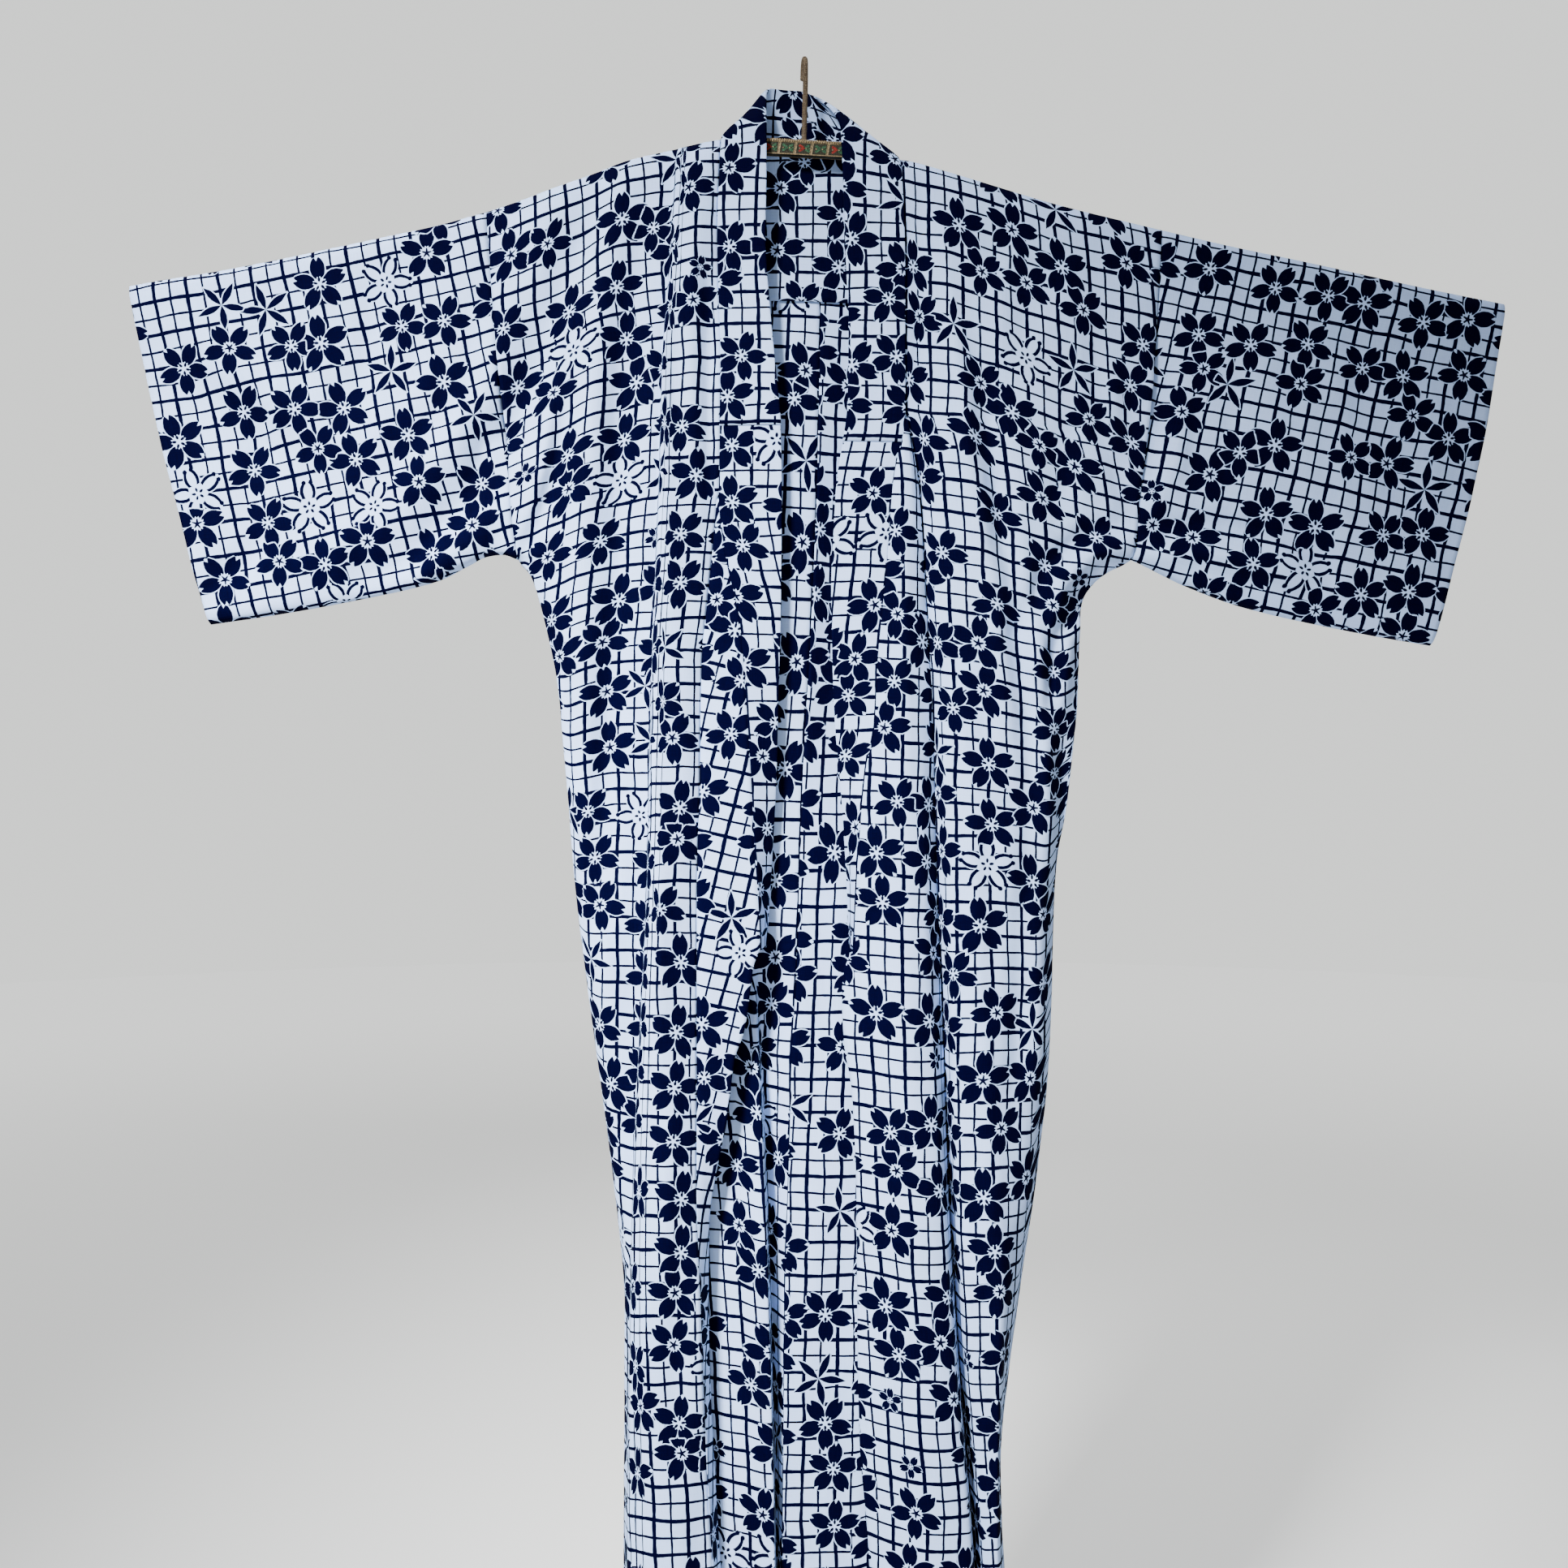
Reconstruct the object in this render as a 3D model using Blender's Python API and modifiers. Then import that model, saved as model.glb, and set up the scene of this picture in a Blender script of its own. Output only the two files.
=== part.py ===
"""Cotton yukata robe on a clothes hanger.

The robe hangs open at the front.  The origin is the hook's bearing point, +Z is up, the front of
the robe faces -Y, and the wearer's right is at -X.

Every table is in millimetres.  A "drop" is the distance below the hook's bearing point, x runs
across the robe, and a depth is y: less is nearer the viewer.  A panel is lofted across a few fold
lines, each one a line of the cloth from the shoulder to the hem.
"""
import bmesh
import bpy
import math

MM = 0.001

WALL = 1.2            # cloth, with its surface texture
COLLAR_WALL = 2.2     # folded double
# Between the middles of two walls that are sewn together.  The gap is wider where they meet at
# an angle, so that the walls' own thickness still clears.
RIGHT_OVERLAP_GAP = 1.1
LEFT_OVERLAP_GAP = 1.9
BACK_SEAM_GAP = 1.5
COLLAR_GAP = 1.1
SLEEVE_GAP = 0.9

UNDERARM = 470        # drop of the lowest point of the armholes
HEM = 1502            # drop of the hem
ROLL = 35             # the cloth turns over the hanger's arm within this height
ARMHOLE_HALF = 7.5    # half the hollow at the armhole and the cuff
ARMHOLE_ROLL = 14     # the sleeve turns over the hanger's arm within this height

# Rows of the panels: shares of the height from the shoulder to the underarm, then drops.
UPPER_ROWS = (0, 0.015, 0.04, 0.09, 0.2, 0.34, 0.5, 0.64, 0.86, 0.965, 1)
LOWER_ROWS = (496, 530, 595, 670, 746, 808, 836, 880, 935, 1000, 1070, 1160, 1250, 1345, 1424, HEM)
NECK_ROW = 4          # first row of the collar that lies on the front
COLLAR_END = 836      # drop of the collar's lower ends
RIGHT_KENSAKI = 0.86  # row where the right overlap panel's point starts
LEFT_KENSAKI = 0.64

COLOURS = {           # colour, roughness
    "cloth": ((0.80, 0.82, 0.88), 0.85),
    "collar": ((0.78, 0.80, 0.88), 0.85),
    "lining": ((0.84, 0.85, 0.90), 0.9),
    "wood": ((0.45, 0.31, 0.12), 0.5),
    "cord": ((0.34, 0.23, 0.10), 0.8),
}

# ---------------------------------------------------------------- fold lines: (drop, x, depth)
SHOULDER_RIGHT = ((-300, 141), (-254, 127), (-208, 108), (-162, 91), (-131, 84), (-79, 72))
SHOULDER_LEFT = ((91, 91), (130, 100), (161, 111), (222, 129), (283, 146), (337, 158))

RIGHT_COLLAR_SEAM = (
    (72, -79, -12), (170, -81, -13), (286, -78, -15), (414, -80, -18), (478, -72, -22),
    (524, -61, -25), (593, -55, -27), (670, -50, -28), (746, -46, -29), (808, -42, -30),
    (836, -41, -30))
RIGHT_OVERLAP_SEAM = (
    (414, -82, -18), (475, -87, -20), (572, -96, -23), (695, -98, -26), (785, -100, -28),
    (1054, -100, -32), (1172, -96, -34), (1337, -89, -36), (HEM, -78, -38))
RIGHT_FREE_EDGE = (
    (836, -41, -30), (850, -47, -30), (880, -51, -29), (912, -56, -28), (938, -65, -26),
    (989, -71, -24), (1054, -84, -20), (1092, -89, -16), (1169, -90, -14), (1246, -88, -14),
    (1361, -82, -15), (HEM, -72, -16))
RIGHT_FRONT = {
    "crest": ((82, -100, -16), (250, -106, -22), (424, -110, -24), (700, -118, -34),
              (1054, -126, -42), (1300, -124, -46), (HEM, -118, -48)),
    "pleat lip": ((80, -117, -15), (209, -124, -19), (278, -131, -21), (401, -133, -22),
                  (570, -139, -28), (785, -144, -33), (967, -153, -36), (1169, -159, -37),
                  (HEM, -163, -38)),
    "pleat foot": ((81, -122, -9), (209, -130, -8), (401, -138, -8), (570, -144, -12),
                   (785, -149, -15), (967, -158, -17), (1169, -163, -18), (HEM, -167, -20)),
    "side dip": ((94, -170, -14), (401, -180, -17), (700, -184, -20), (850, -180, -20),
                 (967, -174, -16), (1169, -166.5, -12), (HEM, -169, -12)),
    "side crest": ((118, -232, -12), (401, -236, -14), (600, -214, -15), (785, -203, -13),
                   (967, -186, -9), (1169, -169, -5), (HEM, -170.5, -5)),
}
RIGHT_SIDE = (
    (141, -300, 0), (247, -291, 0), (370, -280, 0), (UNDERARM, -270, 0), (484, -260, 0),
    (518, -250, 0), (592, -234, 1), (646, -229, 1), (700, -224, 1), (785, -217, 2), (904, -202, 2),
    (967, -193, 2), (1054, -181, 2), (1148, -171, 2), (1238, -166, 2), (1313, -167, 2),
    (1399, -170, 2), (HEM, -172, 2))
RIGHT_BACK = {
    "side crest": ((118, -232, 10), (401, -234, 10), (600, -212, 10), (785, -198, 11),
                   (967, -178, 11), (1169, -160, 11), (HEM, -160, 11)),
    "side dip": ((94, -170, 12), (401, -176, 12), (700, -172, 13), (967, -156, 13),
                 (1169, -140, 13), (HEM, -142, 13)),
    "blade": ((81, -122, 13), (401, -140, 13), (700, -138, 16), (1054, -122, 17), (HEM, -124, 17)),
    "blade end": ((80, -117, 13), (401, -122, 13), (700, -116, 14), (1054, -106, 12),
                  (HEM, -108, 10)),
    "fold rise": ((82, -100, 14), (401, -102, 13), (700, -96, 14), (850, -93, 11), (912, -90, 4),
                  (1054, -90, -3), (1300, -84, -8), (HEM, -80, -10)),
    "fold crest": ((72, -79, 14), (401, -78, 14), (700, -70, 14), (850, -70, 9), (912, -68, -1),
                   (1054, -63, -10), (1300, -56, -18), (HEM, -50, -22)),
}
RIGHT_BACK_NECK = {
    "fold edge": ((92, -52, 16), (401, -54, 15), (700, -53, 14), (850, -50, 8), (912, -47, -1),
                  (1054, -41, -8), (1195, -36, -14), (1361, -31, -18), (HEM, -29, -20)),
    "shade valley": ((92, -28, 17), (401, -34, 17), (700, -44, 17), (850, -42, 17),
                     (912, -41, 17), (1054, -35.5, 17), (1195, -31, 16), (1361, -27.5, 15),
                     (HEM, -26, 14)),
}
BACK_SEAM = (
    (92, 17, 18), (223, 16, 16), (324, 14, 14), (401, 12, 12), (524, 7, 10), (670, -1, 8),
    (813, -6, 6), (977, -13, 4), (1054, -15, 3), (1169, -19, 2), (1361, -22, 1), (HEM, -23, 0))

LEFT_COLLAR_SEAM = (
    (91, 91, -12), (140, 93, -13), (209, 94, -14), (334, 94, -16), (401, 83, -18), (462, 78, -21),
    (506, 74, -23), (572, 68, -25), (634, 65, -26), (662, 58, -27), (708, 53, -27),
    (785, 48, -27), (836, 46, -27))
LEFT_OVERLAP_SEAM = (
    (334, 96, -16), (401, 107, -11), (523, 114, -9), (621, 120, -6), (720, 123, -4),
    (879, 129, -1), (1015, 134, 0), (1195, 144, 1), (1361, 157, 2), (HEM, 166, 2))
LEFT_FREE_EDGE = (
    (836, 46, -27), (855, 37, -26), (879, 35, -26), (923, 37, -27), (967, 44, -28),
    (1054, 48, -30), (1172, 49, -32), (1289, 51, -32), (1384, 59, -32), (HEM, 64, -32))
LEFT_OVERLAP = {
    "ridge": ((334, 95.2, -16), (401, 100, -22), (523, 105, -26), (597, 108, -30), (695, 111, -35),
              (813, 116, -39), (945, 123, -43), (1054, 130, -46), (1172, 137, -48),
              (1266, 144, -49), (1361, 151, -49), (HEM, 160, -49)),
    "crest": ((334, 94.6, -16), (401, 93, -22), (597, 93, -31), (785, 91, -40), (1054, 99, -50),
              (1266, 108, -54), (HEM, 120, -56)),
    "bend": ((334, 94.2, -16), (401, 88, -20), (597, 79, -28), (785, 66, -34), (1054, 70, -41),
             (1266, 74, -43), (HEM, 88, -44)),
}
LEFT_FRONT = {
    "valley lip": ((95, 106, -12), (247, 111, -16), (401, 118, -19), (511, 122, -22),
                   (621, 130, -26), (785, 135, -30), (879, 137, -32), (1015, 142, -34),
                   (1195, 151, -34), (1361, 164, -33), (HEM, 172, -32)),
    "chest": ((112, 160, -16), (401, 165, -23), (621, 170, -30), (900, 180, -37),
              (1200, 178, -40), (1361, 177, -36), (HEM, 180, -34)),
    "side": ((135, 240, -12), (401, 236, -17), (600, 226, -20), (800, 218, -21), (1000, 210, -20),
             (1148, 198, -17), (1302, 184, -12), (HEM, 190, -12)),
}
LEFT_SIDE = (
    (158, 337, 0), (309, 328, 0), (401, 318, 0), (UNDERARM, 309, 0), (480, 291, 0), (492, 276, 0),
    (508, 266, 0), (530, 263, 0), (607, 261, 1), (646, 257, 1), (707, 250, 2), (757, 240, 2),
    (822, 237, 2), (890, 235, 2), (967, 231, 2), (1044, 222, 2), (1148, 207, 2), (1238, 194, 2),
    (1302, 187, 2), (1349, 185, 2), (1424, 190, 2), (HEM, 193, 2))
LEFT_BACK = {
    "side": ((135, 240, 10), (401, 232, 11), (600, 222, 12), (1000, 206, 13), (1302, 164, 13),
             (HEM, 166, 13)),
    "blade": ((112, 160, 13), (401, 162, 12), (700, 156, 17), (1054, 150, 16), (HEM, 128, 16)),
    "fold": ((95, 106, 14), (401, 112, 14), (700, 106, 10), (1054, 100, 9), (HEM, 88, 8)),
    "neck point": ((91, 91, 14), (401, 88, 14), (700, 78, 9), (1054, 70, 3), (HEM, 62, -1)),
}
LEFT_BACK_NECK = {
    "inner": ((92, 50, 18), (401, 50, 14), (700, 40, 8), (1054, 34, 1), (HEM, 34, -4)),
}

# Collar: the free inner edge on each front, and the stations round the neck, each with its sewn
# edge (x, depth, drop) and its free edge (x, depth, drop).
RIGHT_COLLAR_FREE = (
    (140, -36.5, -15), (170, -37, -16), (232, -33, -17), (286, -28, -18), (355, -22, -20),
    (401, -21, -21), (524, -22, -22), (593, -24, -20), (670, -26, -16), (746, -30, -10),
    (808, -34, -4), (836, -36, -2))
LEFT_COLLAR_FREE = (
    (140, 38, -15), (201, 40, -16), (247, 42, -17), (324, 41, -19), (401, 30, -21), (450, 27, -22),
    (499, 25, -22), (593, 27, -20), (631, 29, -17), (670, 33, -13), (719, 37, -8), (785, 41, -2),
    (836, 43, 0))
NECK_STATIONS = (
    ((-78.6, -11.8, 98), (-36, -14, 98)),
    ((-77.9, -8, 82), (-36, -11, 72)),
    ((-77.2, -1, 71), (-36, -8, 56)),
    ((-74.5, 5, 71.5), (-36.5, -3, 42)),
    ((-62, 12, 80), (-36, 4, 29)),
    ((-36, 18, 89.6), (-29, 12, 24)),
    ((0, 19, 90.4), (-8, 17, 24)),
    ((34, 19, 90.4), (4, 16, 28)),
    ((62, 16.5, 89.5), (14, 10, 36)),
    ((80, 9, 87), (24, 2, 48)),
    ((88, 0.5, 87.5), (33, -7, 68)),
    ((90.6, -9, 103), (36, -11, 88)),
    ((92, -12.6, 125), (37, -14, 118)),
)
COLLAR_COLUMNS = 4
OVER_COLLAR_PROUD = 2.5     # from the collar's middle surface to the over-collar's
OVER_COLLAR_INSET = 0.015   # share of the collar's width left bare at each edge
OVER_COLLAR_END_RIGHT = 5   # rows below the neck row where the over-collar ends
OVER_COLLAR_END_LEFT = 5

# Sleeves: (drop, x) along the top fold, the bottom fold and the cuff.
RIGHT_SLEEVE_TOP = ((-300, 141), (-343, 153), (-411, 168), (-531, 193), (-637, 211))
RIGHT_SLEEVE_BOTTOM = ((-270, 470), (-285, 465), (-300, 467), (-316, 475), (-346, 490),
                       (-408, 505), (-500, 522), (-561, 531))
RIGHT_CUFF_BOW = 4
LEFT_SLEEVE_TOP = ((337, 158), (406, 174), (468, 187), (591, 214), (661, 228))
LEFT_SLEEVE_BOTTOM = ((309, 470), (320, 475), (346, 488), (361, 495), (416, 515), (529, 540),
                      (592, 551))
LEFT_CUFF_BOW = 7
SLEEVE_COLUMNS = (0, 0.05, 0.11, 0.2, 0.33, 0.48, 0.64, 0.8, 0.93, 1)
SLEEVE_FRONT_SWELL = 10
SLEEVE_BACK_SWELL = 9

LINING_DEPTH_GAP = 1.5      # between its wall and the back's
LINING_DROPS = (104, 130, 160, 192, 223)
LINING_COLUMNS = (-62, -40, -20, 0, 20, 40, 62)

# Hanger
BAR_HALF_LENGTH = 40
BAR_CENTRE_DROP = 81
BAR_HEIGHT = 13
BAR_DEPTH = 9
BAR_TILT = math.radians(3)
ARM_RADIUS = 4.5
ARM_BELOW_SHOULDER = 10
ARM_NECK_DIP = 4
ARM_GAP = 0.5
ARM_REACH = 0.86            # share of the sleeve's length that the arm reaches
ARM_STEPS = 16
HOOK_RADIUS = 3
HOOK_GAP = 0.6
HOOK_LOOP = 13              # radius of the hook's centre line
HOOK_SHAFT = ((0, 71), (-2, 62), (-6, 48), (-10, 34), (-12.5, 22))   # depth, drop
HOOK_TIP_DROP = 17
HOOK_TURN = math.radians(12)


# ---------------------------------------------------------------- smooth tables
def slopes(knots, values):
    """Tangents that keep each stretch of a table monotone, so no curve swings past its points."""
    steps = [(values[i + 1] - values[i]) / (knots[i + 1] - knots[i]) for i in range(len(knots) - 1)]
    inner = [0 if a * b <= 0 else 2 * a * b / (a + b) for a, b in zip(steps, steps[1:])]
    return [steps[0]] + inner + [steps[-1]]


def smooth(knots, values, at):
    if len(knots) == 1 or at <= knots[0]:
        return values[0]
    if at >= knots[-1]:
        return values[-1]
    i = max(k for k in range(len(knots) - 1) if knots[k] <= at)
    tangents = slopes(knots, values)
    width = knots[i + 1] - knots[i]
    t = (at - knots[i]) / width
    return ((1 + 2 * t) * (1 - t) ** 2 * values[i] + t * (1 - t) ** 2 * width * tangents[i]
            + t * t * (3 - 2 * t) * values[i + 1] - t * t * (1 - t) * width * tangents[i + 1])


def read(table, at):
    """The other columns of a table at a value of its first column."""
    rows = sorted(table)
    knots = [row[0] for row in rows]
    return [smooth(knots, [row[k] for row in rows], at) for k in range(1, len(rows[0]))]


def across(points, between):
    """Points of a section through its fold lines, with extra ones between them."""
    knots = list(range(len(points)))
    section = []
    for i, extra in enumerate(list(between) + [0]):
        section += [tuple(smooth(knots, [p[k] for p in points], i + j / (extra + 1))
                          for k in range(3)) for j in range(extra + 1)][:extra + 1]
    return section[:sum(between) + len(points)]


# ---------------------------------------------------------------- objects
def material(name):
    made = bpy.data.materials.new(name)
    made.use_nodes = True
    colour, roughness = COLOURS[name.split("_of_")[0]]
    shader = made.node_tree.nodes["Principled BSDF"]
    shader.inputs["Base Color"].default_value = (*colour, 1)
    shader.inputs["Roughness"].default_value = roughness
    shader.inputs["Metallic"].default_value = 0
    return made


def finish(made, kind):
    made.data.materials.append(material(kind + "_of_" + made.name))
    for owner in list(made.users_collection):
        owner.objects.unlink(made)
    ROBE.objects.link(made)
    return made


def sheet(name, grids, wall, kind="cloth"):
    """One wall of cloth from one or more grids of (x, depth, drop), welded where they meet."""
    work = bmesh.new()
    for grid, closed in grids:
        rows = [[work.verts.new((x * MM, depth * MM, -drop * MM)) for x, depth, drop in row]
                for row in grid]
        for upper, lower in zip(rows, rows[1:]):
            columns = len(upper) if closed else len(upper) - 1
            for i in range(columns):
                j = (i + 1) % len(upper)
                work.faces.new((upper[i], upper[j], lower[j], lower[i]))
    bmesh.ops.remove_doubles(work, verts=work.verts, dist=0.00001)
    bmesh.ops.recalc_face_normals(work, faces=work.faces)
    mesh = bpy.data.meshes.new(name)
    work.to_mesh(mesh)
    work.free()
    mesh.shade_smooth()
    made = bpy.data.objects.new(name, mesh)
    bpy.context.scene.collection.objects.link(made)
    thicken = made.modifiers.new("cloth wall", "SOLIDIFY")
    thicken.thickness = wall * MM
    thicken.offset = 0
    return finish(made, kind)


def rod(name, points, radius, kind, sides=2):
    """A round bar along points (x, depth, drop)."""
    curve = bpy.data.curves.new(name, "CURVE")
    curve.dimensions = "3D"
    curve.bevel_depth = radius * MM
    curve.bevel_resolution = sides
    curve.use_fill_caps = True
    spline = curve.splines.new("POLY")
    spline.points.add(len(points) - 1)
    for target, (x, depth, drop) in zip(spline.points, points):
        target.co = (x * MM, depth * MM, -drop * MM, 1)
    made = bpy.data.objects.new(name, curve)
    bpy.context.scene.collection.objects.link(made)
    return finish(made, kind)


# ---------------------------------------------------------------- body panels
def top_of(line, shoulder):
    return read(shoulder, line[0][1])[0]


def rows_from(top):
    return [top + share * (UNDERARM - top) for share in UPPER_ROWS] + list(LOWER_ROWS)


def fold_line(line, top, rolls=True):
    """The points of one fold line at every row, from its top at the shoulder or neck."""
    points = []
    for drop in rows_from(top):
        x, depth = read(line, drop)
        if rolls and drop < top + ROLL:
            depth *= math.sqrt(1 - (1 - (drop - top) / ROLL) ** 2)
        points.append((x, depth, drop))
    return points


def side_line(line, facing):
    """The armhole's edge above the underarm, and the side fold below it."""
    points = fold_line(line, line[0][0])
    for i, share in enumerate(UPPER_ROWS):
        x, depth, drop = points[i]
        points[i] = (x, facing * ARMHOLE_HALF * armhole_round(share), drop)
    return points


def armhole_round(share):
    """Share of the full half hollow, which closes in a round at the top and bottom folds."""
    near_fold = min(share, 1 - share) * (UNDERARM - RIGHT_SIDE[0][0]) / ARMHOLE_ROLL
    return math.sqrt(1 - (1 - min(near_fold, 1)) ** 2)


def panel(lines, between):
    """Rows of points through fold lines that share the same rows."""
    return [across(points, between) for points in zip(*lines)]


def shifted(points, x_shift):
    return [(x + x_shift, depth, drop) for x, depth, drop in points]


def inner_line(collar_seam, overlap_seam, kensaki, collar_shift, overlap_shift):
    """A front's inner edge: the collar's seam down to the kensaki, then the overlap's seam."""
    top = collar_seam[0][0]
    above = shifted(fold_line(collar_seam, top), collar_shift)
    below = shifted(fold_line(overlap_seam, top), overlap_shift)
    first = UPPER_ROWS.index(kensaki)
    return above[:first] + below[first:]


def body(name, toward_side, shoulder, front, side, back, neck, collar_seam, overlap_seam,
         overlap_gap, kensaki, front_between, back_between, neck_between):
    """One half of the body: the front and the back in one length over the shoulder."""
    front_lines = [inner_line(collar_seam, overlap_seam, kensaki,
                              toward_side * COLLAR_GAP / 2, toward_side * overlap_gap / 2)]
    front_lines += [fold_line(line, top_of(line, shoulder)) for line in front.values()]
    front_lines.append(side_line(side, -1))
    front_grid = panel(front_lines, front_between)

    back_lines = [side_line(side, 1)]
    back_lines += [fold_line(line, top_of(line, shoulder)) for line in back.values()]
    back_lines[-1][0] = front_lines[0][0]
    neck_lines = [fold_line(line, line[0][0], rolls=False) for line in neck.values()]
    neck_lines.append(shifted(fold_line(BACK_SEAM, BACK_SEAM[0][0], rolls=False),
                              toward_side * BACK_SEAM_GAP / 2))
    back_grid = panel(back_lines + neck_lines, back_between + neck_between)
    back_grid[0][:len(front_grid[0])] = list(reversed(front_grid[0]))
    return sheet(name, [(front_grid, False), (back_grid, False)], WALL)


def overlap(name, toward_side, seam, seam_gap, folds, collar_seam, free_edge, kensaki, between):
    """The overlap panel, from its point under the collar to the hem."""
    top = collar_seam[0][0]
    first = UPPER_ROWS.index(kensaki)
    along_collar = [i for i, drop in enumerate(rows_from(top)) if drop <= COLLAR_END]
    collar_edge = shifted(fold_line(collar_seam, top), toward_side * COLLAR_GAP / 2)
    front_edge = fold_line(free_edge, top)
    last = along_collar[-1]
    edge = collar_edge[:last + 1] + front_edge[last + 1:]
    lines = [shifted(fold_line(seam, top), -toward_side * seam_gap / 2)]
    lines += [fold_line(line, top) for line in folds]
    lines.append(edge)
    return sheet(name, [(panel(lines, between)[first:], False)], WALL)


# ---------------------------------------------------------------- collar
def collar_stations():
    """(sewn edge, free edge) pairs from the right front's lower end, round the neck, to the left."""
    def front(seam, free, shift):
        top = seam[0][0]
        rows = [drop for drop in rows_from(top)[NECK_ROW:] if drop <= COLLAR_END]
        pairs = []
        for drop in rows:
            x, depth = read(seam, drop)
            free_x, free_depth = read(free, drop)
            pairs.append(((x + shift, depth, drop), (free_x, free_depth, drop)))
        return pairs

    right = front(RIGHT_COLLAR_SEAM, RIGHT_COLLAR_FREE, COLLAR_GAP / 2)
    left = front(LEFT_COLLAR_SEAM, LEFT_COLLAR_FREE, -COLLAR_GAP / 2)
    return list(reversed(right)) + round_neck() + left, len(right), len(left)


def round_neck():
    """The neck's stations, with one more between each two."""
    columns = list(zip(*[sewn + free for sewn, free in NECK_STATIONS]))
    knots = list(range(len(NECK_STATIONS)))
    halves = [i / 2 for i in range(2 * len(knots) - 1)]
    finer = [[smooth(knots, column, at) for column in columns] for at in halves]
    return [(tuple(row[:3]), tuple(row[3:])) for row in finer]


def strip(stations, proud=0, inset=0):
    """Rows across the collar, moved out from its face by `proud` and in from its edges."""
    shares = [inset + (1 - 2 * inset) * j / COLLAR_COLUMNS for j in range(COLLAR_COLUMNS + 1)]
    rows = [[tuple(sewn[k] + (free[k] - sewn[k]) * share for k in range(3)) for share in shares]
            for sewn, free in stations]
    if not proud:
        return rows
    return [[tuple(point[k] + out[k] * proud for k in range(3))
             for point, out in zip(row, facings(rows, i))] for i, row in enumerate(rows)]


def facings(rows, i):
    """Unit vectors out of the collar's face along one of its rows."""
    before, after = rows[max(i - 1, 0)], rows[min(i + 1, len(rows) - 1)]
    width = [rows[i][-1][k] - rows[i][0][k] for k in range(3)]
    made = []
    for j in range(len(rows[i])):
        along = [after[j][k] - before[j][k] for k in range(3)]
        out = [along[1] * width[2] - along[2] * width[1],
               along[2] * width[0] - along[0] * width[2],
               along[0] * width[1] - along[1] * width[0]]
        length = math.sqrt(sum(v * v for v in out))
        made.append([v / length for v in out])
    return made


# ---------------------------------------------------------------- sleeves
def sleeve(name, side, top_edge, bottom_edge, cuff_bow, outward):
    """A flat tube, open at the armhole and the cuff, between its top and bottom folds."""
    def fold_at(edge, share):
        first, last = edge[0][0], edge[-1][0]
        x = first + (last - first) * share
        return x, read(edge, x)[0]

    armhole = side_line(side, 1)[:len(UPPER_ROWS)]
    grid = []
    for share in SLEEVE_COLUMNS:
        top_x, top_drop = fold_at(top_edge, share)
        low_x, low_drop = fold_at(bottom_edge, share)
        ring = []
        for facing, swell in ((-1, SLEEVE_FRONT_SWELL), (1, SLEEVE_BACK_SWELL)):
            half = ARMHOLE_HALF + (swell - ARMHOLE_HALF) * math.sin(math.pi * share)
            rows = list(zip(UPPER_ROWS, armhole))
            rows = rows if facing < 0 else list(reversed(rows))[1:-1]
            for row, (seam_x, _, seam_drop) in rows:
                x = top_x + (low_x - top_x) * row
                drop = top_drop + (low_drop - top_drop) * row
                nearness = (1 - share) ** 3
                x += (seam_x - (armhole[0][0] + (armhole[-1][0] - armhole[0][0]) * row)) * nearness
                x += outward * (cuff_bow * share * 4 * row * (1 - row) + SLEEVE_GAP)
                ring.append((x, facing * half * armhole_round(row), drop))
        grid.append(ring)
    return sheet(name, [(grid, True)], WALL)


# ---------------------------------------------------------------- shoulder lining
def lining():
    """A patch inside the back, from just under the neck seam to its own hem."""
    rows = [[(x, back_depth(x, drop) - WALL - LINING_DEPTH_GAP, drop) for x in LINING_COLUMNS]
            for drop in LINING_DROPS]
    return sheet("shoulder_lining", [(rows, False)], WALL, "lining")


def back_depth(x, drop):
    """Depth of the back's middle surface at a place between the shoulders."""
    known = []
    for line in list(RIGHT_BACK.values()) + list(RIGHT_BACK_NECK.values()) + [BACK_SEAM] + \
            list(LEFT_BACK_NECK.values()) + list(reversed(LEFT_BACK.values())):
        known.append(tuple(read(line, drop)))
    return smooth([k[0] for k in known], [k[1] for k in known], x)


# ---------------------------------------------------------------- hanger
def hanger_bar():
    bpy.ops.mesh.primitive_cube_add(size=1, location=(0, 0, -BAR_CENTRE_DROP * MM),
                                    rotation=(0, BAR_TILT, 0))
    made = bpy.context.object
    made.name = "hanger_bar"
    made.scale = (2 * BAR_HALF_LENGTH * MM, BAR_DEPTH * MM, BAR_HEIGHT * MM)
    bpy.ops.object.transform_apply(location=False, rotation=False, scale=True)
    round_off = made.modifiers.new("rounded edges", "BEVEL")
    round_off.width = 1.2 * MM
    round_off.segments = 2
    return finish(made, "wood")


def hanger_arm(name, shoulder, sleeve_top, outward):
    """An arm from the bar's end, along the shoulder, into the sleeve."""
    bar_x = outward * (BAR_HALF_LENGTH + ARM_GAP)
    bar_drop = BAR_CENTRE_DROP + bar_x * math.sin(BAR_TILT)
    line = sorted(set(shoulder) | set(sleeve_top), key=lambda point: abs(point[0]))
    end = sleeve_top[0][0] + (sleeve_top[-1][0] - sleeve_top[0][0]) * ARM_REACH
    points = [(bar_x, 0, bar_drop), (bar_x + outward * ARM_RADIUS, 0, bar_drop)]
    start = line[0][0]
    for i in range(ARM_STEPS + 1):
        x = start + (end - start) * i / ARM_STEPS
        below = ARM_BELOW_SHOULDER + (ARM_NECK_DIP if i == 0 else 0)
        points.append((x, 0, read(line, x)[0] + below))
    return rod(name, points, ARM_RADIUS, "wood")


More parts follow.
